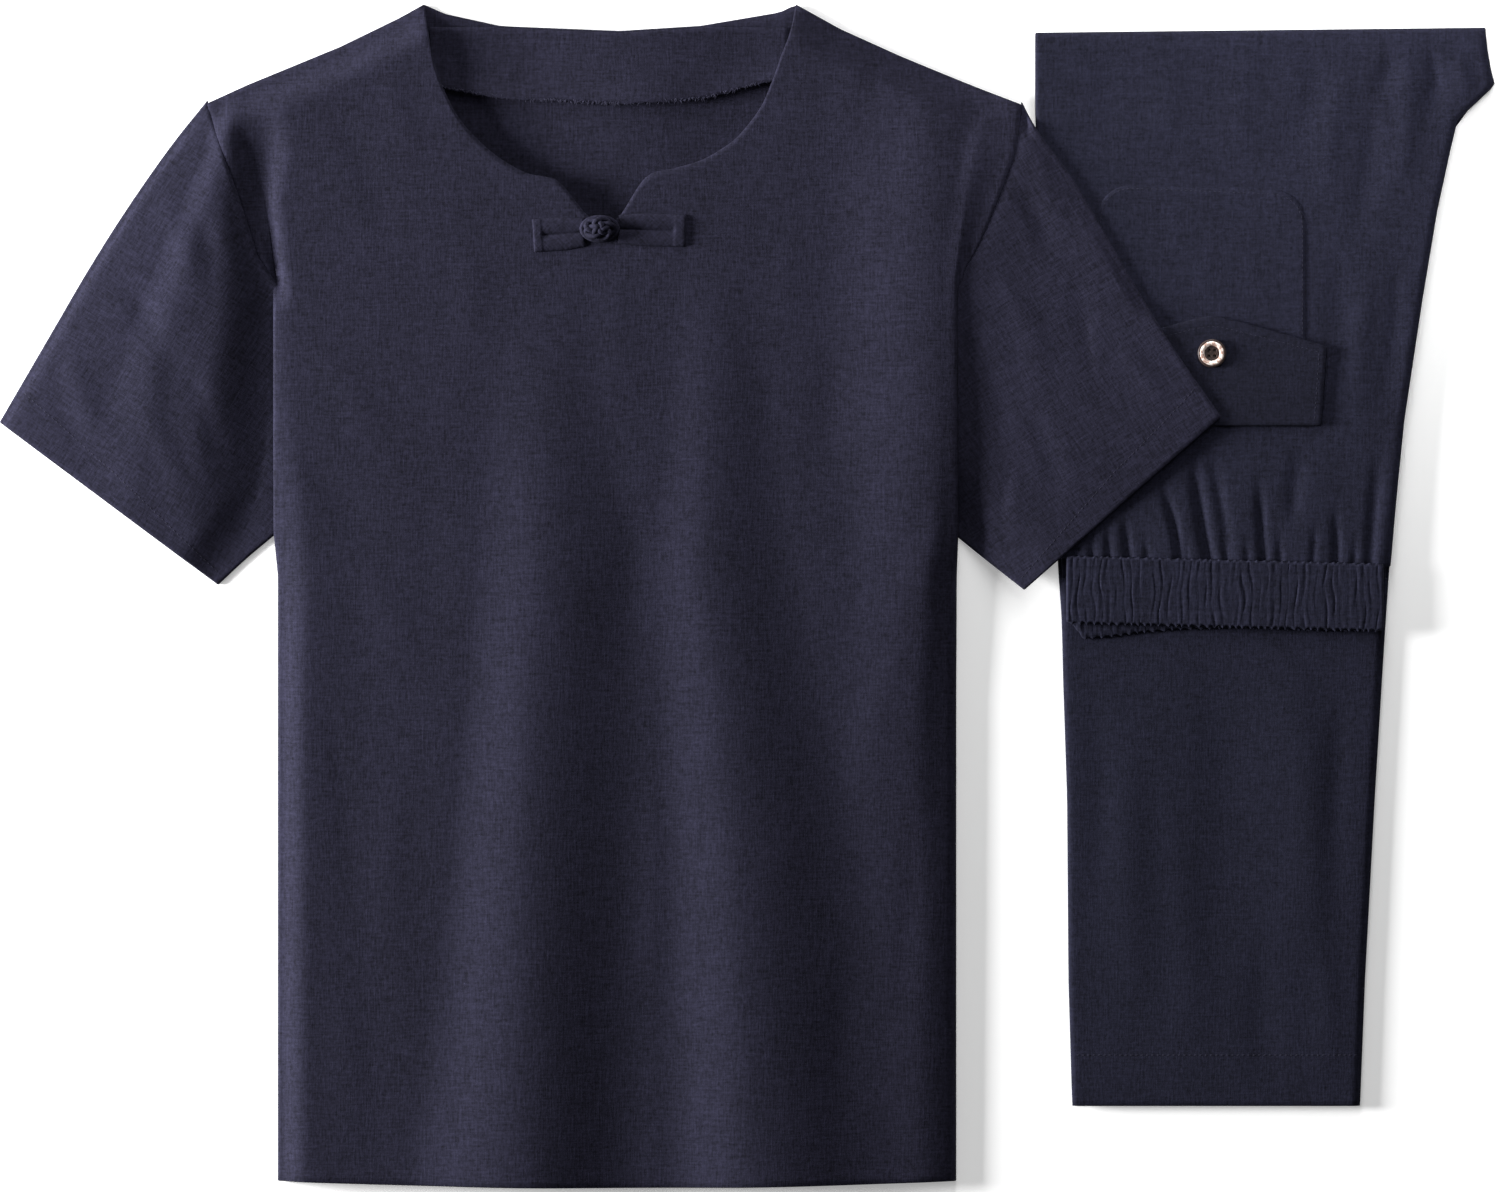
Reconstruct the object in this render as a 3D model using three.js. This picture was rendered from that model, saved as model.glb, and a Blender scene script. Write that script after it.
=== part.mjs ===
// A linen suit laid flat: a short-sleeved collarless top with one knot-and-loop fastening,
// and beside it a pair of elastic-waisted trousers, folded lengthwise and then in half.
// Millimetres, +Z up. The origin is on the surface that the set lies on, under the middle of
// its outline. +X runs across both garments and -Y points to the top's hem.
import * as THREE from 'three';

// Cloth
const CLOTH = 1.2;
const HALF = CLOTH / 2;
const GAP = 0.3;
const PATCH_CLOTH = 1.0;
const FLAP_CLOTH = 1.6;

// The top: heights of its front panel's upper face, and of the shoulder edge
const PLATEAU = 6.4;
const SIDE_CREST = 8.0;
const SIDE_FALL = 60;
const SHOULDER_EDGE = 2 * CLOTH + GAP;
const SHOULDER_FALL = 22;
const HEM_Y = -350.5;
const HEM_SAG = 3.8;
const ARMPIT_Y = 38;
const ROLL_Y = 12;

// The top's sides are turned under: how wide, and how high the hidden layers lie
const TURNED_START = 4.3;
const TURNED_END = 54;
const TURNED_HEIGHT = 2.7;
const TURNED_TOP_Y = 6;
const BACK_RISE = 10;
const BACK_TUCK = 6.5;

// Sleeves
const SLEEVE_FLAT = 2 * CLOTH + GAP;
const SLEEVE_HEM = 23;
const SLEEVE_HEM_STEP = 0.4;
const SLEEVE_RIDE = 10.4;
const FLAP_RIDE = 2.1;

// The trousers: middle heights of the upper and lower layers, and where they fold
const STACK = 7.9;
const LOWER_LEG = 4.5;
const FOLD_Y = 337.5;
const FOLD_RISE = 3;
const WAIST_Y = 22.5;
const WAIST_FALL = 4.8;
const TROUSER_HEM_Y = -305.5;
const BAND_WIDTH = 38;
const BAND_CLOTH = 2.6;
const BAND_WRINKLES = 37;

// Pocket, its flap and its button
const POCKET_X = [209.1, 333.9];
const POCKET_Y = [108, 246];
const POCKET_CORNER = 20;
const FLAP_CENTRE_X = 277.5;
const FLAP_HALF = 68.5;
const FLAP_Y = 102.3;
const FLAP_SIDE = 46.5;
const FLAP_POINT = 66;
const BUTTON = { x: 277.5, y: 145, radius: 8.5, height: 2.6 };

// The knot-and-loop fastening: each strap's ends and width, and the knot's half sizes
const LOOP_STRAP = { x0: -129, y0: 215.5, x1: -100.3, y1: 217.5, width: 20, height: 2.4 };
const KNOB_STRAP = { x0: -77.9, y0: 221, x1: -37.5, y1: 217.5, width: 19.5, height: 2.4 };
const KNOT = { x: -89.1, y: 219.6, halfX: 10.8, halfY: 7.5, halfZ: 5.5 };

// The top's outline, from the left shoulder's end over the neck to the right one
const SHOULDER = [
  { x: -324.3, y: 294.9 },
  { x: -299, y: 306.3 },
  { x: -245, y: 328.5 },
  { x: -209, y: 346 },
  { x: -194.7, y: 354 },
  { x: 28.5, y: 354 },
  { x: 54.9, y: 339.3 },
  { x: 90.9, y: 323 },
  { x: 139.5, y: 303 },
  { x: 163.5, y: 293.7 },
];

// The front neckline with its notch, from the left shoulder seam to the right one
const NECKLINE = [
  { x: -194.7, y: 354 },
  { x: -191.7, y: 335 },
  { x: -188.1, y: 317 },
  { x: -181.5, y: 300.3 },
  { x: -172.5, y: 284.1 },
  { x: -160.5, y: 270.9 },
  { x: -147.9, y: 260.7 },
  { x: -132.9, y: 252.6 },
  { x: -120.9, y: 250.2 },
  { x: -112.7, y: 246.5 },
  { x: -97.1, y: 227.8 },
  { x: -87.9, y: 222.9 },
  { x: -77.8, y: 226 },
  { x: -61.5, y: 249.9 },
  { x: -44.7, y: 255.3 },
  { x: -28.5, y: 260.1 },
  { x: -17.1, y: 266.4 },
  { x: -6.3, y: 274.5 },
  { x: 6.9, y: 291.3 },
  { x: 14.1, y: 307.5 },
  { x: 19.5, y: 322.5 },
  { x: 24.9, y: 337 },
  { x: 28.5, y: 354 },
];

const BACK_NECK = [
  { x: -194.7, y: 354 },
  { x: -182, y: 348.3 },
  { x: -149, y: 341.1 },
  { x: -77, y: 338 },
  { x: -29, y: 341.1 },
  { x: 18.9, y: 349.3 },
  { x: 28.5, y: 354 },
];

const FACING_EDGE = [
  { x: -191, y: 307 },
  { x: -180, y: 303.3 },
  { x: -137, y: 297.3 },
  { x: -77, y: 294.3 },
  { x: -29, y: 297.3 },
  { x: 16, y: 309.3 },
  { x: 24, y: 313 },
];

// Where each side of the top creases (crest) and where the sleeve joins it (armhole), by height
const LEFT_SIDE = [
  { y: 306, crest: -300.5, armhole: -324.5 },
  { y: 293, crest: -300.3, armhole: -324.3 },
  { y: 276, crest: -298, armhole: -318.9 },
  { y: 262, crest: -295, armhole: -314 },
  { y: 241, crest: -290, armhole: -306.3 },
  { y: 219, crest: -286.3, armhole: -299.1 },
  { y: 203, crest: -284.5, armhole: -294.3 },
  { y: 185, crest: -282.6, armhole: -281.6 },
  { y: 38, crest: -282.6, armhole: -281.6 },
  { y: 12, crest: -278.7, armhole: -281.6 },
  { y: -360, crest: -278.7, armhole: -281.6 },
];
const RIGHT_SIDE = [
  { y: 306, crest: 139.7, armhole: 163.7 },
  { y: 293, crest: 139.5, armhole: 163.5 },
  { y: 276, crest: 137, armhole: 161.5 },
  { y: 262, crest: 134, armhole: 158.7 },
  { y: 241, crest: 129.5, armhole: 151 },
  { y: 219, crest: 126.5, armhole: 141.9 },
  { y: 203, crest: 124.7, armhole: 134.1 },
  { y: 185, crest: 122.8, armhole: 121.8 },
  { y: 38, crest: 123.6, armhole: 122.6 },
  { y: 12, crest: 121.3, armhole: 122.6 },
  { y: -360, crest: 121, armhole: 122.6 },
];

// The front panel past its crest, in five steps outwards (out) and downwards (down).
// Above the crook of the arm it is a shallow valley that ends at the armhole seam, where out is
// a share of the way there. Below, it hooks under, and under the armpit it rolls to the surface.
const VALLEY = [
  { out: 0.12, down: 0.4 },
  { out: 0.3, down: 1.6 },
  { out: 0.5, down: 2.4 },
  { out: 0.72, down: 2.7 },
  { out: 1, down: 2.6 },
];
const LEAST_STEP = 0.9;
const HOOK = [
  { out: 1.1, down: 0.4 },
  { out: 1.6, down: 1.5 },
  { out: 1.1, down: 2.6 },
  { out: -1, down: 3 },
  { out: -6, down: 3 },
];
const ROLL = [
  { out: 2.5, down: 1 },
  { out: 3.6, down: 3.4 },
  { out: 2.5, down: 5.8 },
  { out: 0, down: 6.8 },
  { out: -4, down: 6.8 },
];
const HOOK_TOP_Y = 168;
const VALLEY_END_Y = 196;

// Long soft folds of the front panel: crest, height and the widths of both flanks, by y
const FOLDS = [
  [
    { y: 120, x: -131, height: 0, left: 60, right: 40 },
    { y: 0, x: -122, height: 3, left: 62, right: 48 },
    { y: -120, x: -122, height: 6, left: 64, right: 54 },
    { y: -240, x: -123, height: 8, left: 66, right: 60 },
    { y: -354, x: -131, height: 9.5, left: 66, right: 66 },
  ],
  [
    { y: 160, x: -20, height: 0, left: 50, right: 40 },
    { y: 57, x: -8, height: 2.5, left: 55, right: 44 },
    { y: -62, x: 1, height: 5, left: 62, right: 52 },
    { y: -182, x: 10, height: 7, left: 68, right: 60 },
    { y: -354, x: 16, height: 9, left: 74, right: 66 },
  ],
];

// Sleeve outlines: the outer edge from the shoulder to the cuff, and the underarm edge
const LEFT_SLEEVE = {
  outer: [
    { x: -324.6, y: 294.9 },
    { x: -346.5, y: 267.3 },
    { x: -371.7, y: 231.3 },
    { x: -394.5, y: 195.3 },
    { x: -415.5, y: 159.3 },
    { x: -447.9, y: 103.5 },
  ],
  under: [
    { x: -282, y: 40.5 },
    { x: -302, y: 23.5 },
    { x: -318.9, y: 7.5 },
  ],
};
const RIGHT_SLEEVE = {
  outer: [
    { x: 163.8, y: 293.7 },
    { x: 173, y: 276.5 },
    { x: 194.1, y: 247.5 },
    { x: 209.1, y: 222.3 },
    { x: 246.9, y: 157.5 },
    { x: 281.7, y: 106.5 },
  ],
  under: [
    { x: 123, y: 39.3 },
    { x: 144.9, y: 21.3 },
    { x: 165.9, y: 4.5 },
  ],
};

// How a sleeve swells between its edges: the swell's middle and height, from armhole to cuff
const LEFT_SWELL = [
  { along: 0, middle: 0.2, width: 0.24, height: 2 },
  { along: 0.3, middle: 0.24, width: 0.34, height: 3.2 },
  { along: 0.7, middle: 0.36, width: 0.42, height: 3.5 },
  { along: 1, middle: 0.46, width: 0.5, height: 2.8 },
];
const RIGHT_SWELL = [
  { along: 0, middle: 0.2, width: 0.22, height: 2 },
  { along: 0.25, middle: 0.36, width: 0.36, height: 2.4 },
  { along: 0.6, middle: 0.48, width: 0.46, height: 3.2 },
  { along: 1, middle: 0.5, width: 0.5, height: 2.6 },
];

// The folded trousers' sides. The upper layers show from the fold to the waistband, and the
// lower leg from there to the hem.
const TROUSER_SIDES = [
  { y: 345, left: 171.9, right: 441.5 },
  { y: 321, left: 171.9, right: 443.7 },
  { y: 306, left: 171.9, right: 447.6 },
  { y: 295, left: 171.9, right: 435.9 },
  { y: 285, left: 172, right: 425.1 },
  { y: 267, left: 173, right: 420.9 },
  { y: 231, left: 174.8, right: 413.1 },
  { y: 177, left: 177.6, right: 404.1 },
  { y: 105, left: 181.2, right: 393.3 },
  { y: 17, left: 185.7, right: 384.5 },
  { y: -15, left: 187.9, right: 382.3 },
  { y: -50, left: 188.7, right: 380.1 },
  { y: -122, left: 191.1, right: 375.7 },
  { y: -230, left: 191.9, right: 369.9 },
  { y: -306, left: 194.1, right: 366.9 },
];

// Gathers above the waistband: where each valley meets it, how deep it is and how far it runs
const GATHERS = [
  { x: 207, depth: 1.6, reach: 22 },
  { x: 217, depth: 1.6, reach: 25 },
  { x: 229, depth: 2, reach: 30 },
  { x: 254, depth: 2.5, reach: 75 },
  { x: 279, depth: 2.9, reach: 95 },
  { x: 290, depth: 1.5, reach: 30 },
  { x: 310, depth: 2.3, reach: 70 },
  { x: 329, depth: 1.6, reach: 90 },
  { x: 352, depth: 2, reach: 45 },
  { x: 372, depth: 1.8, reach: 100 },
];

// Half sections of what the folded trousers hide: its height along the garment
const HIDDEN_HEIGHTS = [
  { y: 331, top: 6.4 },
  { y: 326, top: 7 },
  { y: 306, top: 7 },
  { y: 295, top: 7 },
  { y: 285, top: 7 },
  { y: 231, top: 7 },
  { y: 105, top: 6.8 },
  { y: 70, top: 5.4 },
  { y: 40, top: 4.2 },
  { y: 24, top: 3.6 },
  { y: -50, top: 3.6 },
  { y: -180, top: 3.6 },
  { y: -302, top: 3.6 },
];

// Numbers between named table rows

const lerp = THREE.MathUtils.lerp;
const clamp = THREE.MathUtils.clamp;

// 0 below the first edge, 1 above the second, and a soft step between them
function soft(from, to, value) {
  const t = clamp((value - from) / (to - from), 0, 1);
  return t * t * (3 - 2 * t);
}

// A column of a table at a place between its rows, which run up or down in the key column
function between(rows, key, place, column) {
  const rising = rows[rows.length - 1][key] > rows[0][key];
  const ordered = rising ? rows : [...rows].reverse();
  if (place <= ordered[0][key]) return ordered[0][column];
  for (let i = 1; i < ordered.length; i += 1) {
    const low = ordered[i - 1];
    const high = ordered[i];
    if (place <= high[key]) {
      return lerp(low[column], high[column], (place - low[key]) / (high[key] - low[key]));
    }
  }
  return ordered[ordered.length - 1][column];
}

// A point at a share of the way along a polyline, by its length
function alongLine(points, share) {
  const lengths = points.slice(1).map((p, i) => Math.hypot(p.x - points[i].x, p.y - points[i].y));
  let left = clamp(share, 0, 1) * lengths.reduce((sum, length) => sum + length, 0);
  for (let i = 0; i < lengths.length; i += 1) {
    if (left <= lengths[i] || i === lengths.length - 1) {
      const t = Math.min(left / lengths[i], 1);
      return { x: lerp(points[i].x, points[i + 1].x, t), y: lerp(points[i].y, points[i + 1].y, t) };
    }
    left -= lengths[i];
  }
  return points[points.length - 1];
}

// Evenly spaced numbers, both ends included
function spaced(count, from = 0, to = 1) {
  return Array.from({ length: count }, (_, i) => lerp(from, to, i / (count - 1)));
}

// Closed solids from grids and rings of points

// Whichever way its rings turn, a solid's faces point out: its signed volume is positive
function geometryFrom(points, triangles) {
  const geometry = new THREE.BufferGeometry();
  const flat = points.flatMap((p) => [p.x, p.y, p.z]);
  let volume = 0;
  for (let i = 0; i < triangles.length; i += 3) {
    const [a, b, c] = triangles.slice(i, i + 3).map((corner) => points[corner]);
    volume += a.dot(b.clone().cross(c));
  }
  geometry.setAttribute('position', new THREE.Float32BufferAttribute(flat, 3));
  geometry.setIndex(volume > 0 ? triangles : triangles.reverse());
  geometry.computeVertexNormals();
  return geometry;
}

// Two triangles for four corners in order, split across the shorter diagonal
function quad(points, triangles, a, b, c, d) {
  if (points[a].distanceTo(points[c]) <= points[b].distanceTo(points[d])) {
    triangles.push(a, b, c, a, c, d);
  } else {
    triangles.push(a, b, d, b, c, d);
  }
}

// A cloth wall around a grid of middle points. Rows run towards -Y and columns towards +X,
// so its outer face looks up. Nothing reaches below the surface that it lies on.
function clothWall(rows, thickness = CLOTH) {
  const rowCount = rows.length;
  const columnCount = rows[0].length;
  const at = (r, c) => rows[clamp(r, 0, rowCount - 1)][clamp(c, 0, columnCount - 1)];
  const outer = [];
  const inner = [];
  for (let r = 0; r < rowCount; r += 1) {
    for (let c = 0; c < columnCount; c += 1) {
      const across = at(r, c + 1).clone().sub(at(r, c - 1)).normalize();
      const down = at(r + 1, c).clone().sub(at(r - 1, c)).normalize();
      const normal = down.cross(across).normalize().multiplyScalar(thickness / 2);
      const above = at(r, c).clone().add(normal);
      const below = at(r, c).clone().sub(normal);
      above.z = Math.max(above.z, 0);
      below.z = Math.max(below.z, 0);
      outer.push(above);
      inner.push(below);
    }
  }
  const points = [...outer, ...inner];
  const count = outer.length;
  const index = (r, c) => r * columnCount + c;
  const triangles = [];
  for (let r = 0; r < rowCount - 1; r += 1) {
    for (let c = 0; c < columnCount - 1; c += 1) {
      const [a, b, d, e] = [index(r, c), index(r + 1, c), index(r + 1, c + 1), index(r, c + 1)];
      quad(points, triangles, a, b, d, e);
      quad(points, triangles, count + e, count + d, count + b, count + a);
    }
  }
  for (let c = 0; c < columnCount - 1; c += 1) {
    const last = rowCount - 1;
    const [a, b] = [index(0, c), index(0, c + 1)];
    quad(points, triangles, a, b, count + b, count + a);
    const [e, f] = [index(last, c), index(last, c + 1)];
    quad(points, triangles, f, e, count + e, count + f);
  }
  for (let r = 0; r < rowCount - 1; r += 1) {
    const last = columnCount - 1;
    const [a, b] = [index(r, 0), index(r + 1, 0)];
    const [e, f] = [index(r, last), index(r + 1, last)];
    quad(points, triangles, b, a, count + a, count + b);
    quad(points, triangles, e, f, count + f, count + e);
  }
  return geometryFrom(points, triangles);
}

// A solid through closed rings of points, capped at both ends
function ringSolid(rings) {
  const size = rings[0].length;
  const points = rings.flat();
  const triangles = [];
  for (let r = 0; r < rings.length - 1; r += 1) {
    for (let i = 0; i < size; i += 1) {
      const next = (i + 1) % size;
      quad(points, triangles, r * size + i, r * size + next, (r + 1) * size + next, (r + 1) * size + i);
    }
  }
  const middle = (ring) => ring.reduce((sum, p) => sum.add(p), new THREE.Vector3()).divideScalar(size);
  const first = points.push(middle(rings[0])) - 1;
  const last = points.push(middle(rings[rings.length - 1])) - 1;
  const lastRing = (rings.length - 1) * size;
  for (let i = 0; i < size; i += 1) {
    const next = (i + 1) % size;
    triangles.push(first, next, i);
    triangles.push(last, lastRing + i, lastRing + next);
  }
  return geometryFrom(points, triangles);
}

// An open tube of cloth through outer and inner rings
function tubeWall(outerRings, innerRings) {
  const size = outerRings[0].length;
  const points = [...outerRings.flat(), ...innerRings.flat()];
  const count = outerRings.length * size;
  const triangles = [];
  for (let r = 0; r < outerRings.length - 1; r += 1) {
    for (let i = 0; i < size; i += 1) {
      const next = (i + 1) % size;
      const [a, b] = [r * size + i, r * size + next];
      const [c, d] = [(r + 1) * size + next, (r + 1) * size + i];
      quad(points, triangles, a, b, c, d);
      quad(points, triangles, count + d, count + c, count + b, count + a);
    }
  }
  const lastRing = (outerRings.length - 1) * size;
  for (let i = 0; i < size; i += 1) {
    const next = (i + 1) % size;
    const [a, b] = [lastRing + i, lastRing + next];
    quad(points, triangles, next, i, count + i, count + next);
    quad(points, triangles, a, b, count + b, count + a);
  }
  return geometryFrom(points, triangles);
}

// The top's front panel

function shoulderY(x) {
  return between(SHOULDER, 'x', x, 'y');
}

function hemY(x) {
  const fromMiddle = (x + 78.8) / 200;
  return HEM_Y - HEM_SAG * (1 - clamp(fromMiddle * fromMiddle, 0, 1));
}

function foldHeight(fold, x, y) {
  const crest = between(fold, 'y', y, 'x');
  const width = between(fold, 'y', y, x < crest ? 'left' : 'right');
  const away = clamp(Math.abs(x - crest) / width, 0, 1);
  return between(fold, 'y', y, 'height') * (0.5 + 0.5 * Math.cos(Math.PI * away));
}

// Middle height of the front panel between its two side creases
function frontMiddle(x, y) {
  const inside = Math.min(x - between(LEFT_SIDE, 'y', y, 'crest'), between(RIGHT_SIDE, 'y', y, 'crest') - x);
  const side = (SIDE_CREST - PLATEAU) * (1 - soft(0, SIDE_FALL, inside));
  const folds = FOLDS.reduce((sum, fold) => sum + foldHeight(fold, x, y), 0);
  const full = PLATEAU + side + folds - HALF;
  return lerp(SHOULDER_EDGE - HALF, full, soft(0, SHOULDER_FALL, shoulderY(x) - y));
}

// A point of the front panel past its side crease. sign is -1 on the left and 1 on the right.
function frontSidePoint(side, sign, step, y) {
  const crest = between(side, 'y', y, 'crest');
  const reach = Math.abs(between(side, 'y', Math.max(y, VALLEY_END_Y), 'armhole') - crest) - GAP / 2;
  const valley = {
    out: Math.max(VALLEY[step].out * reach, LEAST_STEP * (step + 1)),
    down: VALLEY[step].down,
  };
  const hooked = 1 - soft(HOOK_TOP_Y, VALLEY_END_Y, y);
  const rolled = 1 - clamp((y - ROLL_Y) / (ARMPIT_Y - ROLL_Y), 0, 1);
  const hook = {
    out: lerp(HOOK[step].out, ROLL[step].out, rolled),
    down: lerp(HOOK[step].down, ROLL[step].down, rolled),
  };
  const out = lerp(valley.out, hook.out, hooked);
  const down = lerp(valley.down, hook.down, hooked);
  const x = crest + sign * out;
  const drop = soft(0, SHOULDER_FALL, shoulderY(x) - y);
  const crestMiddle = SIDE_CREST - HALF;
  return new THREE.Vector3(x, y, lerp(SHOULDER_EDGE - HALF, crestMiddle - down, drop));
}

const FRONT_ROWS = [
  306, 300, 290, 276, 262, 241, 219, 203, 192, 180, 168, 135, 95, 60, 38, 25, 12, -40, -100,
  -160, -220, -280, -325, -351,
].map((y) => (306 - y) / (306 + 351));

function frontPanel() {
  const leftTop = [-299, -270, -240, -212].map((x) => ({ x, y: shoulderY(x) }));
  const rightTop = [54.9, 85, 113, 139.5].map((x) => ({ x, y: shoulderY(x) }));
  const starts = [...leftTop, ...NECKLINE, ...rightTop];
  const ends = spaced(starts.length, -278.7, 121);
  const outwards = VALLEY.map((_, step) => step);
  const sideRow = (side, sign, share) => outwards.map((step) => {
    const top = shoulderY(between(side, 'y', 300, 'crest') + sign * VALLEY[step].out * 24);
    return frontSidePoint(side, sign, step, lerp(top, hemY(sign * 1000), share));
  });
  const rows = FRONT_ROWS.map((share) => {
    const middle = starts.map((start, i) => {
      const y = lerp(start.y, hemY(ends[i]), share);
      const straight = lerp(start.x, ends[i], share);
      const line = [lerp(starts[0].x, ends[0], share), lerp(starts.at(-1).x, ends.at(-1), share)];
      const sides = [between(LEFT_SIDE, 'y', y, 'crest'), between(RIGHT_SIDE, 'y', y, 'crest')];
      const x = share === 0 ? start.x : THREE.MathUtils.mapLinear(straight, ...line, ...sides);
      return new THREE.Vector3(x, y, frontMiddle(x, y));
    });
    return [
      ...sideRow(LEFT_SIDE, -1, share).reverse(),
      ...middle,
      ...sideRow(RIGHT_SIDE, 1, share),
    ];
  });
  return clothWall(rows);
}

// The top's back panel, which lies on the surface and rises over the turned-under sides

function backEdge(side, y) {
  const sign = side === LEFT_SIDE ? -1 : 1;
  const armhole = between(side, 'y', y, 'armhole') - sign * (GAP / 2);
  const tucked = between(side, 'y', y, 'crest') - sign * BACK_TUCK;
  return lerp(tucked, armhole, soft(ARMPIT_Y + 3, ARMPIT_Y + 12, y));
}

function backMiddle(x, y) {
  const inside = Math.min(x - between(LEFT_SIDE, 'y', y, 'crest'), between(RIGHT_SIDE, 'y', y, 'crest') - x);
  const overTurned = 1 - soft(TURNED_END + 1, TURNED_END + BACK_RISE, inside);
  const belowArmpit = 1 - soft(TURNED_TOP_Y + 4, ARMPIT_Y - 4, y);
  return HALF + (TURNED_HEIGHT + GAP) * overTurned * belowArmpit;
}

function backPanel() {
  const tops = [-299, -262, -225].map((x) => ({ x, y: shoulderY(x) }));
  const otherTops = [54.9, 97, 139.5].map((x) => ({ x, y: shoulderY(x) }));
  const starts = [SHOULDER[0], ...tops, ...BACK_NECK, ...otherTops, SHOULDER.at(-1)];
  const ends = [0, 25, 49, 53, 58, 70].map((inset) => -272 + inset);
  const inner = spaced(3, -160, 2);
  const otherEnds = [...ends].reverse().map((x) => -157.5 - x);
  const hemXs = [...ends, ...inner, ...otherEnds];
  const ys = [306, 290, 276, 262, 241, 219, 203, 185, 50, 41, 33, 25, 17, 9, -120, -240, -350];
  const rows = ys.map((rowY, r) => starts.map((start, i) => {
    const settled = Math.min((306 - rowY) / (306 - 50), 1);
    const hem = hemY(hemXs[i]) + CLOTH;
    const atEdge = r > 0 && (i === 0 || i === starts.length - 1);
    const y = settled < 1 && !atEdge ? lerp(start.y, 50, settled) : Math.max(rowY, hem);
    const straight = lerp(start.x, hemXs[i], settled);
    const line = [lerp(starts[0].x, hemXs[0], settled), lerp(starts.at(-1).x, hemXs.at(-1), settled)];
    const edges = [backEdge(LEFT_SIDE, y), backEdge(RIGHT_SIDE, y)];
    const x = r === 0 ? start.x : THREE.MathUtils.mapLinear(straight, ...line, ...edges);
    const atStart = r === 0 ? start.y : y;
    return new THREE.Vector3(x, r === ys.length - 1 ? hem : atStart, backMiddle(x, y));
  }));
  return clothWall(rows);
}

// The hidden part of each side that is turned under: two layers, parted by a groove
function turnedSide(side, sign) {
  const height = TURNED_HEIGHT;
  const groove = 0.7;
  const profile = [
    { inset: 0.4, z: 0 },
    { inset: 0, z: 0.4 },
    { inset: 0, z: height / 2 - 0.3 },
    { inset: groove, z: height / 2 },
    { inset: 0, z: height / 2 + 0.3 },
    { inset: 0, z: height - 0.4 },
    { inset: 0.4, z: height },
  ];
  const ys = [TURNED_TOP_Y, -90, -200, -300, HEM_Y + 2];
  const rings = ys.map((y) => {
    const crest = between(side, 'y', y, 'crest');
    const outerX = crest - sign * TURNED_START;
    const innerX = crest - sign * TURNED_END;
    const outerFace = profile.map((p) => new THREE.Vector3(outerX - sign * p.inset, y, p.z));
    const innerFace = profile.map((p) => new THREE.Vector3(innerX + sign * p.inset, y, p.z));
    const ring = [...outerFace, ...innerFace.reverse()];
    return ring;
  });
  return ringSolid(rings);
}

// Sleeves: flat open tubes of cloth from the armhole to the cuff

// A point of a sleeve seen from above: along from armhole to cuff, across from the outer edge
// to the underarm edge
function sleevePoint(sleeve, side, sign, along, across) {
  const armholeYs = [sleeve.outer[0].y, sleeve.under[0].y];
  const armY = lerp(armholeYs[0], armholeYs[1], across);
  const armhole = { x: between(side, 'y', armY, 'armhole') + sign * (GAP / 2), y: armY };
  const corners = [sleeve.outer[0], sleeve.under[0], sleeve.outer.at(-1), sleeve.under.at(-1)];
  const outer = alongLine(sleeve.outer, along);
  const under = alongLine(sleeve.under, along);
  const coons = (key) => {
    const edges = lerp(outer[key], under[key], across);
    const armStraight = lerp(corners[0][key], corners[1][key], across);
    return edges + (armhole[key] - armStraight) * (1 - along);
  };
  return { x: coons('x'), y: coons('y') };
}

function swellAt(table, along, across) {
  const middle = between(table, 'along', along, 'middle');
  const width = between(table, 'along', along, 'width');
  const away = clamp(Math.abs(across - middle) / width, 0, 1);
  const edge = soft(0, 0.09, across) * soft(0, 0.12, 1 - across);
  return between(table, 'along', along, 'height') * (0.5 + 0.5 * Math.cos(Math.PI * away)) * edge;
}

// How high the right sleeve's lower layer lies, over the folded trousers and their pocket flap
function rightSleeveFloor(point) {
  const trouserEdge = between(TROUSER_SIDES, 'y', point.y, 'left');
  const armhole = between(RIGHT_SIDE, 'y', point.y, 'armhole');
  const start = Math.max(armhole + 1, trouserEdge - 30);
  const onFlap = soft(FLAP_CENTRE_X - FLAP_HALF - 16, FLAP_CENTRE_X - FLAP_HALF, point.x)
    * soft(FLAP_Y - 16, FLAP_Y - 2, point.y)
    * (1 - soft(FLAP_Y + FLAP_POINT - 8, FLAP_Y + FLAP_POINT + 12, point.y));
  return (SLEEVE_RIDE + FLAP_RIDE * onFlap) * soft(start, trouserEdge - 2, point.x);
}

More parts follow.
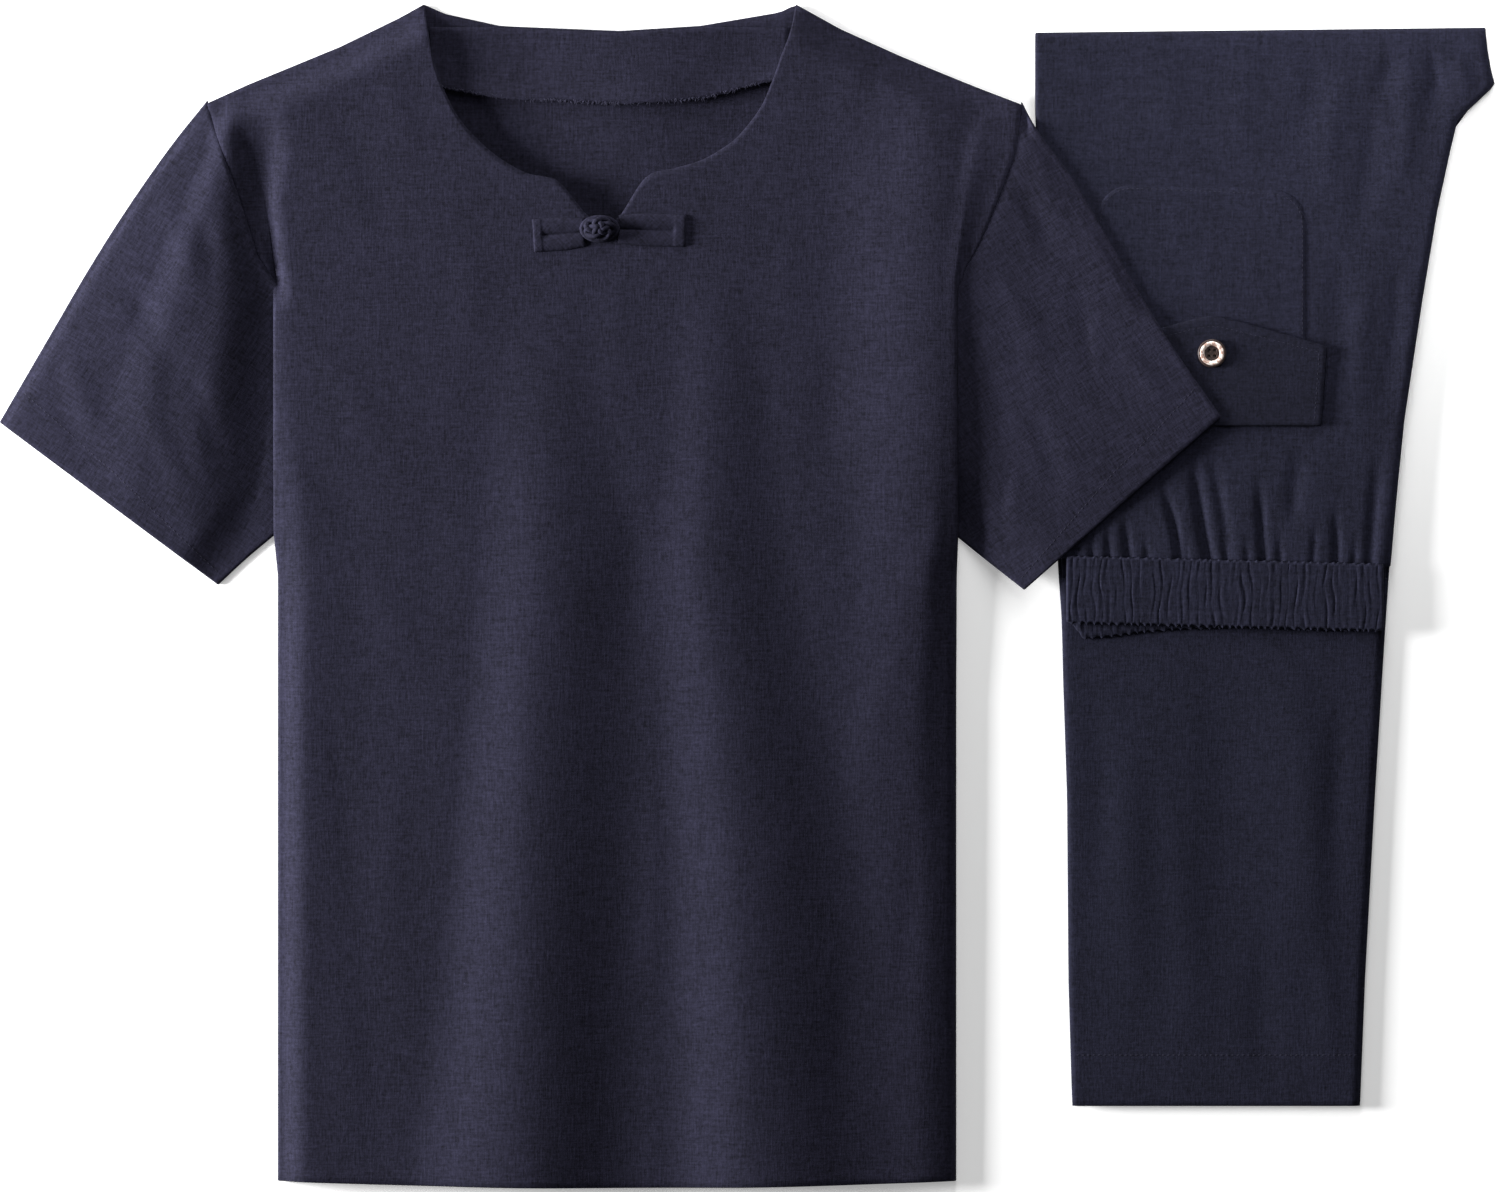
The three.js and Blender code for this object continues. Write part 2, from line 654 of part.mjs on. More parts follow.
function sleeveTube(sleeve, side, sign, swell, floorAt) {
  const cuffLength = Math.hypot(
    sleeve.outer.at(-1).x - sleeve.outer[0].x,
    sleeve.outer.at(-1).y - sleeve.outer[0].y,
  );
  const hemStart = 1 - SLEEVE_HEM / cuffLength;
  const alongs = [0, 0.06, 0.13, 0.21, 0.3, 0.42, 0.56, 0.72, hemStart - 0.008, hemStart, 1];
  const shoulderEnd = sleeve.outer[0].y;
  const seamed = side.slice(2, 8).map(({ y }) => (shoulderEnd - y) / (shoulderEnd - sleeve.under[0].y));
  const acrosses = [0.012, ...seamed, 0.55, 0.68, 0.82, 0.94, 0.988];
  const ringAt = (along, inset) => {
    const squeeze = (across) => lerp(inset, 1 - inset, across);
    const hemStep = along >= hemStart ? SLEEVE_HEM_STEP : 0;
    const wall = inset > 0 ? CLOTH : 0;
    const place = (across, layer) => {
      const t = squeeze(across);
      const p = sleevePoint(sleeve, side, sign, along, t);
      const low = floorAt(p);
      const high = low + SLEEVE_FLAT + swellAt(swell, along, t) + hemStep;
      const heights = { upper: high - wall, edge: low + SLEEVE_FLAT / 2, lower: low + wall };
      return new THREE.Vector3(p.x, p.y, heights[layer]);
    };
    const ring = [
      place(0, 'edge'),
      ...acrosses.map((across) => place(across, 'upper')),
      place(1, 'edge'),
      ...[...acrosses].reverse().map((across) => place(across, 'lower')),
    ];
    return ring;
  };
  const innerInset = 0.006;
  return tubeWall(alongs.map((along) => ringAt(along, 0)), alongs.map((along) => ringAt(along, innerInset)));
}

// The facing inside the back of the neck

function neckFacing() {
  const xs = [-191, -184, -165, -137, -107, -77, -48, -20, 0, 16, 24];
  const middle = CLOTH + GAP + PATCH_CLOTH / 2;
  const rows = [0, 0.5, 1].map((share) => xs.map((x) => {
    const neck = Math.min(between(BACK_NECK, 'x', x, 'y') - 1.2, 340.5);
    const y = lerp(neck, between(FACING_EDGE, 'x', x, 'y'), share);
    return new THREE.Vector3(x, y, middle);
  }));
  return clothWall(rows, PATCH_CLOTH);
}

// The knot-and-loop fastening on the front

// A strap of doubled cord, with a groove down its middle, that lies on the front panel
function frogStrap({ x0, y0, x1, y1, width, height }) {
  const direction = new THREE.Vector2(x1 - x0, y1 - y0).normalize();
  const profile = [
    { side: -0.5, up: 0.15 },
    { side: -0.5, up: 0.6 },
    { side: -0.42, up: 0.9 },
    { side: -0.25, up: 1 },
    { side: -0.09, up: 0.9 },
    { side: 0, up: 0.5 },
    { side: 0.09, up: 0.9 },
    { side: 0.25, up: 1 },
    { side: 0.42, up: 0.9 },
    { side: 0.5, up: 0.6 },
    { side: 0.5, up: 0.15 },
    { side: 0.45, up: 0 },
    { side: 0, up: 0 },
    { side: -0.45, up: 0 },
  ];
  const shares = [0, 0.03, 0.5, 0.97, 1];
  const rings = shares.map((share) => {
    const end = share === 0 || share === 1 ? 0.82 : 1;
    return profile.map(({ side, up }) => {
      const x = lerp(x0, x1, share) - direction.y * side * width * end;
      const y = lerp(y0, y1, share) + direction.x * side * width * end;
      const base = frontMiddle(x, y) + HALF + GAP;
      return new THREE.Vector3(x, y, base + up * height * end);
    });
  });
  return ringSolid(rings);
}

// The knot: a low ball whose cords bulge in three turns
function frogKnot({ x, y, halfX, halfY, halfZ }) {
  const base = frontMiddle(x, y) + HALF + GAP;
  const heights = spaced(9, 0, Math.PI);
  const rings = heights.slice(1, -1).map((angle) => spaced(19, 0, 2 * Math.PI).slice(0, -1).map((turn) => {
    const bulge = 1 - 0.06 * (0.5 + 0.5 * Math.cos(3 * turn + 2 * angle));
    const out = Math.sin(angle) * bulge;
    return new THREE.Vector3(
      x + halfX * out * Math.cos(turn),
      y + halfY * out * Math.sin(turn),
      base + halfZ * (1 - Math.cos(angle)),
    );
  }));
  return ringSolid(rings);
}

// The trousers

function foldY(x) {
  return FOLD_Y + FOLD_RISE * ((x - 172) / 270);
}

function waistY(x) {
  return WAIST_Y - WAIST_FALL * ((x - 191) / 189);
}

// How an outer layer rounds down at its two sides: inset from the edge, and drop
const EDGE_ROUND = [
  { inset: 0, drop: 2.3 },
  { inset: 0.9, drop: 0.9 },
  { inset: 3.5, drop: 0.15 },
];

// The columns of the upper panel at the waistband: valleys of the gathers, crests between them
function gatherColumns() {
  const columns = [{ x: 196, lift: 1, reach: 25 }];
  GATHERS.forEach((valley, i) => {
    columns.push({ x: valley.x, lift: -valley.depth, reach: valley.reach });
    const next = GATHERS[i + 1];
    const crest = next
      ? { x: (valley.x + next.x) / 2, lift: 1.3, reach: Math.min(valley.reach, next.reach) }
      : { x: 379, lift: 0.6, reach: 40 };
    columns.push(crest);
  });
  return columns;
}

// Height added to the upper panel by its gathers at a place along one of their columns
function gatherLift(column, y) {
  const away = y - WAIST_Y;
  return column.lift * (1 - soft(0.15 * column.reach, column.reach, away));
}

function rightLegBack() {
  const columns = gatherColumns();
  const evenXs = spaced(columns.length, 0.035, 0.965);
  const acrossAt = (y, z, gathered) => {
    const left = between(TROUSER_SIDES, 'y', y, 'left');
    const right = between(TROUSER_SIDES, 'y', y, 'right');
    const rounding = gathered ? 1 : 0;
    const leftEdge = EDGE_ROUND.map((e) => ({ x: left + HALF + e.inset, z: z - e.drop * rounding }));
    const rightEdge = EDGE_ROUND.map((e) => ({ x: right - HALF - e.inset, z: z - e.drop * rounding }));
    const inner = columns.map((column, i) => {
      const even = lerp(left, right, evenXs[i]);
      const toWaist = gathered ? 1 - soft(WAIST_Y, WAIST_Y + 120, y) : 0;
      const lift = gathered ? gatherLift(column, y) : 0;
      return { x: lerp(even, column.x, toWaist), z: z + lift };
    });
    return [...leftEdge, ...inner, ...rightEdge.reverse()];
  };
  const topYs = [22.5, 30, 40, 55, 75, 105, 150, 200, 245, 285, 295, 306, 321];
  const rows = topYs.map((y, r) => acrossAt(y, STACK, true).map(({ x, z }) => {
    const waist = r === 0 ? waistY(x) + GAP : y + (waistY(x) - WAIST_Y) * (1 - soft(22.5, 60, y));
    return new THREE.Vector3(x, waist, z);
  }));
  const radius = (STACK - HALF) / 2;
  const centreZ = HALF + radius;
  [0, 36, 72, 108, 144, 180].forEach((degrees) => {
    const angle = THREE.MathUtils.degToRad(degrees);
    const rounding = Math.max(Math.cos(angle), 0);
    const across = acrossAt(340, centreZ + radius * Math.cos(angle), true);
    rows.push(across.map(({ x, z }) => {
      const flatZ = centreZ + radius * Math.cos(angle);
      const y = foldY(x) - HALF - radius + radius * Math.sin(angle);
      return new THREE.Vector3(x, y, lerp(flatZ, z, rounding));
    }));
  });
  [306, 285, 150, 0, -150, TROUSER_HEM_Y].forEach((y) => {
    rows.push(acrossAt(y, HALF, false).map(({ x, z }) => new THREE.Vector3(x, y, z)));
  });
  return clothWall(rows.reverse());
}

// The lower leg that shows past the waistband
const LEG_RELIEF = [
  { share: 0, lift: 0 },
  { share: 0.12, lift: 0.2 },
  { share: 0.3, lift: 1.2 },
  { share: 0.5, lift: 0 },
  { share: 0.74, lift: 1.5 },
  { share: 0.9, lift: 0.3 },
  { share: 1, lift: 0 },
];

function leftLegBack() {
  const shares = [0.06, 0.13, 0.21, 0.3, 0.4, 0.5, 0.62, 0.74, 0.84, 0.93];
  const ys = [10, -22, -45, -90, -150, -210, -265, TROUSER_HEM_Y];
  const rows = ys.map((y) => {
    const left = between(TROUSER_SIDES, 'y', y, 'left');
    const right = between(TROUSER_SIDES, 'y', y, 'right');
    const shown = 1 - soft(-60, -24, y);
    const leftEdge = EDGE_ROUND.map((e) => new THREE.Vector3(left + HALF + e.inset, y, LOWER_LEG - e.drop));
    const rightEdge = EDGE_ROUND.map((e) => new THREE.Vector3(right - HALF - e.inset, y, LOWER_LEG - e.drop));
    const inner = shares.map((share) => {
      const lift = between(LEG_RELIEF, 'share', share, 'lift') * shown;
      return new THREE.Vector3(lerp(left, right, share), y, LOWER_LEG + lift);
    });
    return [...leftEdge, ...inner, ...rightEdge.reverse()];
  });
  return clothWall(rows);
}

// What the folded trousers hide, as one rounded solid whose edges are stepped like its layers
function hiddenLayers() {
  const inset = 3.4;
  const groove = 1.1;
  const layers = 3;
  const rings = HIDDEN_HEIGHTS.map(({ y, top }, r) => {
    const bottom = CLOTH + GAP;
    const left = between(TROUSER_SIDES, 'y', y, 'left') + inset;
    const right = between(TROUSER_SIDES, 'y', y, 'right') - inset;
    const edge = [];
    spaced(2 * layers + 1, bottom, top).forEach((z, i) => {
      const parted = i % 2 === 0;
      edge.push({ inset: parted ? groove : 0, z });
    });
    const ends = r === 0 || r === HIDDEN_HEIGHTS.length - 1 ? 2 : 0;
    const leftFace = edge.map((e) => new THREE.Vector3(left + e.inset + ends, y, e.z));
    const rightFace = edge.map((e) => new THREE.Vector3(right - e.inset - ends, y, e.z));
    return [...leftFace, ...rightFace.reverse()];
  });
  return ringSolid(rings);
}

// Wrinkles of the elastic: crest and valley columns, unevenly spaced and deep
function bandColumns(left, right, count) {
  const columns = [];
  for (let i = 0; i <= 2 * count; i += 1) {
    const uneven = 0.3 * Math.sin(i * 2.4) + 0.2 * Math.sin(i * 0.9 + 1);
    const place = clamp((i + (i > 0 && i < 2 * count ? uneven : 0)) / (2 * count), 0, 1);
    const depth = 0.45 + 0.25 * Math.sin(i * 1.7) + 0.15 * Math.sin(i * 4.1);
    columns.push({ x: lerp(left, right, place), lift: i % 2 === 0 ? depth : -depth });
  }
  return columns;
}

function waistbandBack() {
  const columns = bandColumns(191.3, 379.5, BAND_WRINKLES);
  const middle = LOWER_LEG + HALF + GAP + 2 + GAP + BAND_CLOTH / 2 + 0.7;
  const shares = [0, 0.12, 0.5, 0.88, 1];
  const rows = shares.map((share) => columns.map(({ x, lift }, i) => {
    const scallop = share === 1 ? 0.7 * Math.sin(i * 1.9) : 0;
    const flatter = share === 0 || share === 1 ? 0.55 : 1;
    return new THREE.Vector3(x, waistY(x) - BAND_WIDTH * share + scallop, middle + lift * flatter);
  }));
  return clothWall(rows, BAND_CLOTH);
}

// The front half of the waistband, which shows past the back half
const FRONT_BAND_EDGE = [
  { x: 193, y: -16 },
  { x: 197, y: -19.5 },
  { x: 200, y: -25 },
  { x: 215, y: -24 },
  { x: 233, y: -21.5 },
  { x: 255, y: -19.5 },
  { x: 296, y: -18.5 },
  { x: 334, y: -20 },
  { x: 350, y: -20.5 },
  { x: 376, y: -20 },
];

function waistbandFront() {
  const columns = bandColumns(193, 376, 13);
  const middle = LOWER_LEG + HALF + GAP + 1;
  const rows = [0, 0.5, 1].map((share) => columns.map(({ x, lift }) => {
    const y = lerp(waistY(x) - 6, between(FRONT_BAND_EDGE, 'x', x, 'y'), share);
    return new THREE.Vector3(x, y, middle + 0.25 * lift);
  }));
  return clothWall(rows, 2 * PATCH_CLOTH - 0.4);
}

// The pocket on the upper panel, the flap on it, and the button on the flap

function pocketPatch() {
  const middle = STACK + HALF + GAP + PATCH_CLOTH / 2;
  const shares = [0, 0.02, 0.06, 0.12, 0.25, 0.5, 0.75, 0.88, 0.94, 0.98, 1];
  const rows = [1, 0.6, 0.2, 0].map((up) => shares.map((share) => {
    const x = lerp(POCKET_X[0], POCKET_X[1], share);
    const fromSide = Math.min(x - POCKET_X[0], POCKET_X[1] - x);
    const corner = POCKET_CORNER - Math.sqrt(
      Math.max(POCKET_CORNER ** 2 - Math.max(POCKET_CORNER - fromSide, 0) ** 2, 0),
    );
    const topY = POCKET_Y[1] - 3.5 * share - corner;
    return new THREE.Vector3(x, lerp(POCKET_Y[0], topY, up), middle);
  }));
  return clothWall(rows, PATCH_CLOTH);
}

const FLAP_MIDDLE = STACK + HALF + GAP + PATCH_CLOTH + GAP + FLAP_CLOTH / 2;

function pocketFlap() {
  const xs = [-1, -0.94, -0.6, -0.25, -0.08, 0.08, 0.25, 0.6, 0.94, 1];
  const rows = [1, 0.93, 0.5, 0.07, 0].map((up) => xs.map((across) => {
    const slant = Math.hypot(across, 0.08);
    const length = lerp(FLAP_POINT, FLAP_SIDE, slant);
    const half = lerp(FLAP_HALF - 3.3, FLAP_HALF, up * length / FLAP_SIDE);
    return new THREE.Vector3(FLAP_CENTRE_X + across * Math.min(half, FLAP_HALF + 1.2), FLAP_Y + length * up, FLAP_MIDDLE);
  }));
  return clothWall(rows, FLAP_CLOTH);
}

function pocketButton({ radius, height }) {
  const profile = [
    [0, 0],
    [0.82, 0],
    [1, 0.35],
    [1, 0.62],
    [0.9, 0.95],
    [0.72, 1],
    [0.56, 0.8],
    [0.5, 0.55],
    [0, 0.5],
  ].map(([out, up]) => new THREE.Vector2(out * radius, up * height));
  const lathe = new THREE.LatheGeometry(profile, 24);
  lathe.rotateX(Math.PI / 2);
  return lathe;
}

// The suit

const linen = { color: 0x2b2d3f, roughness: 0.92, metalness: 0 };

function piece(name, geometry, finish = linen) {
  const mesh = new THREE.Mesh(geometry, new THREE.MeshStandardMaterial(finish));
  mesh.name = name;
  return mesh;
}

const topGarment = new THREE.Group();
topGarment.add(
  piece('shirt_front', frontPanel()),
  piece('shirt_back', backPanel()),
  piece('side_fold_left', turnedSide(LEFT_SIDE, -1)),
  piece('side_fold_right', turnedSide(RIGHT_SIDE, 1)),
  piece('sleeve_left', sleeveTube(LEFT_SLEEVE, LEFT_SIDE, -1, LEFT_SWELL, () => 0)),
  piece('sleeve_right', sleeveTube(RIGHT_SLEEVE, RIGHT_SIDE, 1, RIGHT_SWELL, rightSleeveFloor)),
  piece('back_neck_facing', neckFacing()),
  piece('frog_loop', frogStrap(LOOP_STRAP)),
  piece('frog_knob', frogStrap(KNOB_STRAP)),
  piece('frog_knot', frogKnot(KNOT)),
);

const button = piece('pocket_button', pocketButton(BUTTON), { color: 0x241d1c, roughness: 0.3, metalness: 0 });
button.position.set(BUTTON.x, BUTTON.y, FLAP_MIDDLE + FLAP_CLOTH / 2 + GAP);

const trousers = new THREE.Group();
trousers.add(
  piece('right_leg_back', rightLegBack()),
  piece('left_leg_back', leftLegBack()),
  piece('folded_layers', hiddenLayers()),
  piece('waistband_back', waistbandBack()),
  piece('waistband_front', waistbandFront()),
  piece('pocket_patch', pocketPatch()),
  piece('pocket_flap', pocketFlap()),
  button,
);

const suit = new THREE.Group();
suit.add(topGarment, trousers);

export default suit;
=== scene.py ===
# A linen suit laid flat: a short-sleeved collarless top with one knot-and-loop fastening, and
# beside it elastic-waisted trousers, folded lengthwise and then in half, back side up.
# Tables and sizes are in millimetres, in the frame's axes; meshes are made in metres.
import math
import random

import bpy
import numpy as np
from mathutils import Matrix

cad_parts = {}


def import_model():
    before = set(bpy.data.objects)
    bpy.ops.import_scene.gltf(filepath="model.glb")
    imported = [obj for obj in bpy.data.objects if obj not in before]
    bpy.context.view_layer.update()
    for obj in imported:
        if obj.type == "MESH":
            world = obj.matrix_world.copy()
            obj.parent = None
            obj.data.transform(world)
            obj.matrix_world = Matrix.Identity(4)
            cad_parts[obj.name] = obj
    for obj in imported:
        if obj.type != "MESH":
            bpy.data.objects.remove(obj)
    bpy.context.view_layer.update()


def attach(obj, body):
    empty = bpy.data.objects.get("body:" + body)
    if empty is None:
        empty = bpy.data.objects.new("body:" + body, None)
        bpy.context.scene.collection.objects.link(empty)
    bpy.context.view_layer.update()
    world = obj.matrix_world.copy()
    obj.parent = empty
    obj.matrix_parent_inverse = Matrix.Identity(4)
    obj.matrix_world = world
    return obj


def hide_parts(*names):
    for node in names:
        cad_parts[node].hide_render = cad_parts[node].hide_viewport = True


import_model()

MM = 0.001

# Cloth
CLOTH = 1.2
HALF = CLOTH / 2
GAP = 0.3
FACING_CLOTH = 0.8
PATCH_CLOTH = 0.45
FLAP_CLOTH = 1.3

# The top
PLATEAU = 9.6
SHOULDER_HEIGHT = CLOTH + GAP + HALF
SHOULDER_FALL = 24
TIP_LIFT = 6
TIP_SHARE = 0.8
FACING_CURL = 2.4
FACING_SEAM = 1.2
FACING_TOP_Y = 340.5
HEM_Y = -350.5
HEM_SAG = 3.8
ARMPIT_Y = 38
ROLL_Y = 12
HOOK_TOP_Y = 168
VALLEY_END_Y = 196
TURNED_START = 4.3
TURNED_END = 54
TURNED_HEIGHT = 2.7
TURNED_TOP_Y = 6
BACK_RISE = 10
BACK_TUCK = 6.5

# Sleeves
SLEEVE_CLOTH = 1.0
SLEEVE_LOW = SLEEVE_CLOTH / 2
SLEEVE_HIGH = SLEEVE_CLOTH * 1.5 + 0.1
SLEEVE_HEM = 23
SLEEVE_RIDE = 9.05
SLEEVE_RAMP = 40
CORNER_DROOP = 2
FLAP_RIDE = 2.15
HOOK_CLEARANCE = 3.8

# Trousers
STACK = 7.9
LOWER_LEG = 4.5
FOLD_Y = 337.5
FOLD_RISE = 3
FOLD_START_X = 172
FOLD_LENGTH = 270
WAIST_Y = 22.5
WAIST_FALL = 4.8
WAIST_START_X = 191
WAIST_LENGTH = 189
TROUSER_HEM_Y = -305.5
BAND_WIDTH = 38
BAND_CLOTH = 2.0
BAND_WRINKLES = 42
BAND_SEAMS = (0.17, 0.78)
BACK_BAND_X = (191.3, 379.5)
BACK_BAND_RISE = 4.9
FRONT_BAND_X = (193, 376)
FRONT_BAND_CLOTH = 1.4
FRONT_BAND_WRINKLES = 34
HIDDEN_CLOTH = 0.65
HIDDEN_INSET = 3.4
TROUSER_HEM_TURN = 30
PANEL_TOP_Y = 326
FOLD_SIDES_Y = 340
FOLD_RELIEF_Y = 330
UNDER_TOP_Y = 312

# Pocket, flap, button
POCKET_X = (209.1, 333.9)
POCKET_Y = (108, 246)
POCKET_CORNER = 20
POCKET_SLANT = 3.5
# How far the pocket's underside lies inside the leg's cloth
PATCH_SINK = 0.1
FLAP_CENTRE_X = 277.5
FLAP_HALF = 68.5
FLAP_Y = 102.3
FLAP_SIDE = 46.5
FLAP_POINT = 66
FLAP_MIDDLE = STACK + HALF + PATCH_CLOTH + FLAP_CLOTH / 2 + 0.6
BUTTON_X = 277.5
BUTTON_Y = 145
PLATE_RADIUS = 4.7
PLATE_HEIGHT = 1.5
HOLE_FLOOR = 0.15
HOLE_OUT = 1.7
HOLE_RADIUS = 0.85

# Fastening: each strap's ends and width, the straps' height, and the knot's half sizes
LOOP_STRAP = dict(start=(-129, 215.5), end=(-98.3, 217.5), width=20, tail_last=False)
KNOB_STRAP = dict(start=(-77.9, 219.5), end=(-37.5, 218.5), width=19.5, tail_last=True)
STRAP_HEIGHT = 1.7
STRAP_FOLD = 0.17
KNOT_CENTRE = (-89.1, 219.6)
KNOT_HALF = (10.8, 7.5)
KNOT_CORD = 1.6
KNOT_WAVES = 5
LOOP_CORD = 1.5

# Stitches: pitch, length and radius, and how far in from an edge they run
SLEEVE_STITCH = (3.2, 2.2, 0.2)
FLAP_STITCH = (2.9, 2.1, 0.14)
POCKET_STITCH = (2.9, 2.1, 0.15)
TROUSER_STITCH = (3.2, 2.3, 0.22)
FLAP_STITCH_INSET = 4
POCKET_STITCH_INSET = 2

# Picture: its size, how many millimetres a pixel of it spans, and the view's middle
PHOTO_SIZE = (1500, 1192)
MM_PER_PIXEL = 0.6
VIEW_MIDDLE = (0.9, -0.3)


def rows(names, *values):
    """A table with named columns."""
    return dict(zip(names.split(), np.array(values, float).T))


SHOULDER = rows(
    "x y",
    (-324.3, 294.9), (-299, 306.3), (-245, 328.5), (-209, 346), (-194.7, 354),
    (28.5, 354), (54.9, 339.3), (90.9, 323), (139.5, 303), (163.5, 293.7),
)
NECKLINE = rows(
    "x y",
    (-194.7, 354), (-191.7, 335), (-188.1, 317), (-181.5, 300.3), (-172.5, 284.1), (-160.5, 270.9),
    (-147.9, 260.7), (-132.9, 252.6), (-120.9, 250.2), (-112.7, 246.5), (-97.1, 227.8),
    (-87.9, 222.9), (-77.8, 226), (-61.5, 249.9), (-44.7, 255.3), (-28.5, 260.1), (-17.1, 266.4),
    (-6.3, 274.5), (6.9, 291.3), (14.1, 307.5), (19.5, 322.5), (24.9, 337), (28.5, 354),
)
BACK_NECK = rows(
    "x y",
    (-194.7, 354), (-182, 348.3), (-149, 341.1), (-77, 338), (-29, 341.1), (18.9, 349.3), (28.5, 354),
)
FACING_EDGE = rows(
    "x y",
    (-191, 307), (-180, 303.3), (-137, 297.3), (-77, 294.3), (-29, 297.3), (16, 309.3), (24, 313),
)

# Where each side of the top creases (crest), where the sleeve joins, how high the crest is, and
# over what width the front rolls down to it
LEFT_SIDE = rows(
    "y crest armhole height roll",
    (306, -300.5, -324.5, 8.8, 20), (293, -300.3, -324.3, 8.8, 20), (276, -298, -318.9, 8.9, 18),
    (262, -295, -314, 9, 14), (241, -290, -306.3, 9.2, 11), (219, -286.3, -299.1, 9.3, 10),
    (203, -284.5, -294.3, 9.3, 9), (185, -282.6, -281.6, 9.2, 9), (120, -282.6, -281.6, 8.8, 10),
    (87, -282.6, -281.6, 8, 13), (57, -282.6, -281.6, 6.4, 17), (38, -282.6, -281.6, 5.6, 19),
    (12, -278.7, -281.6, 4.4, 18), (-60, -278.7, -281.6, 4, 15), (-360, -278.7, -281.6, 3.8, 15),
)
RIGHT_SIDE = rows(
    "y crest armhole height roll",
    (306, 139.7, 163.7, 8.8, 20), (293, 139.5, 163.5, 9.8, 20), (276, 137, 161.5, 12, 16),
    (262, 134, 158.7, 13.8, 14), (241, 129.5, 151, 15.2, 12), (219, 126.5, 141.9, 16, 11),
    (203, 124.7, 134.1, 16.3, 10), (185, 122.8, 121.8, 16.3, 10), (90, 123.2, 122.4, 15.6, 10),
    (38, 123.6, 122.6, 11.8, 14), (12, 121.3, 122.6, 9.2, 17), (-60, 121, 122.6, 7.4, 21),
    (-360, 121, 122.6, 6.4, 22),
)

# The front past its crest: the way to the armhole in shares, the hook over the sleeve outwards
# and downwards, and the roll to the surface, downwards as a share of the crest's height
SEAM_SHARES = np.array([0, 0.14, 0.32, 0.52, 0.75, 1])
HOOK = rows("out down", (0, 0), (1.1, 0.4), (1.6, 1.3), (1.1, 2.2), (-1, 2.4), (-6, 2.4))
ROLL = rows("out down", (0, 0), (2.2, 0.24), (3, 0.57), (2.2, 0.88), (0, 1), (-4, 1))

# The left sleeve's long fold: where it runs and how high the cloth is there
LEFT_FOLD = rows(
    "y x height",
    (306, -310, 8.8), (267, -313, 10), (237, -322, 11), (207, -332, 11.6), (177, -340, 11.8),
    (147, -349, 11.6), (117, -355, 11), (87, -359, 10.2), (57, -362, 8.8), (0, -366, 5.6),
)
# The valley between the body and the left sleeve: middle, depth, and the widths of both flanks
LEFT_VALLEY = rows(
    "y x height left right",
    (300, -290, 0, 20, 12), (267, -291.5, -4.8, 22, 18), (237, -291, -6.4, 28, 10),
    (203, -286, -7.6, 33, 7), (177, -281, -8.6, 37, 6), (100, -281, -9, 50, 6),
    (0, -281, -7, 60, 6),
)
# The right arm: how high the cloth lies beside the body and out towards the sleeve's edge
RIGHT_ARM = rows(
    "y near far",
    (310, 8.4, 9.6), (293, 9.8, 10), (276, 11.4, 10.8), (262, 12.4, 11.2), (241, 13.2, 11.3),
    (222, 13.5, 11.4), (203, 13.6, 11.9), (177, 13, 12.6), (147, 12, 12.8), (117, 10.8, 12.8),
    (87, 9.6, 12.6), (57, 8.2, 11.2), (33, 7.4, 9.4), (0, 6.6, 8.2),
)
RIGHT_ARM_START = 9
RIGHT_ARM_REACH = 58
SEAM_STEP = 0.35

# The back inside the neck, rounded up
NECK_FOLD = rows(
    "y x height left right",
    (340, -62, 2.6, 90, 78), (300, -62, 3.2, 90, 78), (272, -66, 1.6, 80, 70), (240, -70, 0, 60, 60),
)

# Long soft folds of the front: crest, height, and the widths of both flanks
FOLDS = (
    rows(
        "y x height left right",
        (190, -122, 0, 40, 34), (110, -122, 1.6, 38, 40), (21, -122, 4.8, 42, 62),
        (-80, -129, 6.6, 44, 68), (-160, -133, 7.8, 48, 74), (-300, -136, 9.6, 64, 74),
        (-354, -137, 9.8, 72, 74),
    ),
    rows(
        "y x height left right",
        (200, -24, 0, 24, 30), (117, -22, 2, 28, 38), (21, -24, 4, 34, 52),
        (-80, -12, 6, 44, 66), (-160, -4, 7.5, 49, 76), (-300, 2, 9, 54, 86),
        (-354, 6, 9.2, 57, 88),
    ),
    rows(
        "y x height left right",
        (310, 104, 1.2, 46, 40), (240, 109, 6.6, 64, 60), (100, 110, 7.3, 66, 60),
        (40, 107, 5.2, 52, 36), (-20, 100, 2.7, 46, 30), (-80, 95, 1.7, 44, 26),
        (-160, 94, 0.6, 44, 26), (-354, 94, 0.3, 40, 24),
    ),
    rows(
        "y x height left right",
        (120, -268, 0, 12, 30), (20, -267, 0.9, 12, 40), (-354, -265, 1, 13, 50),
    ),
)

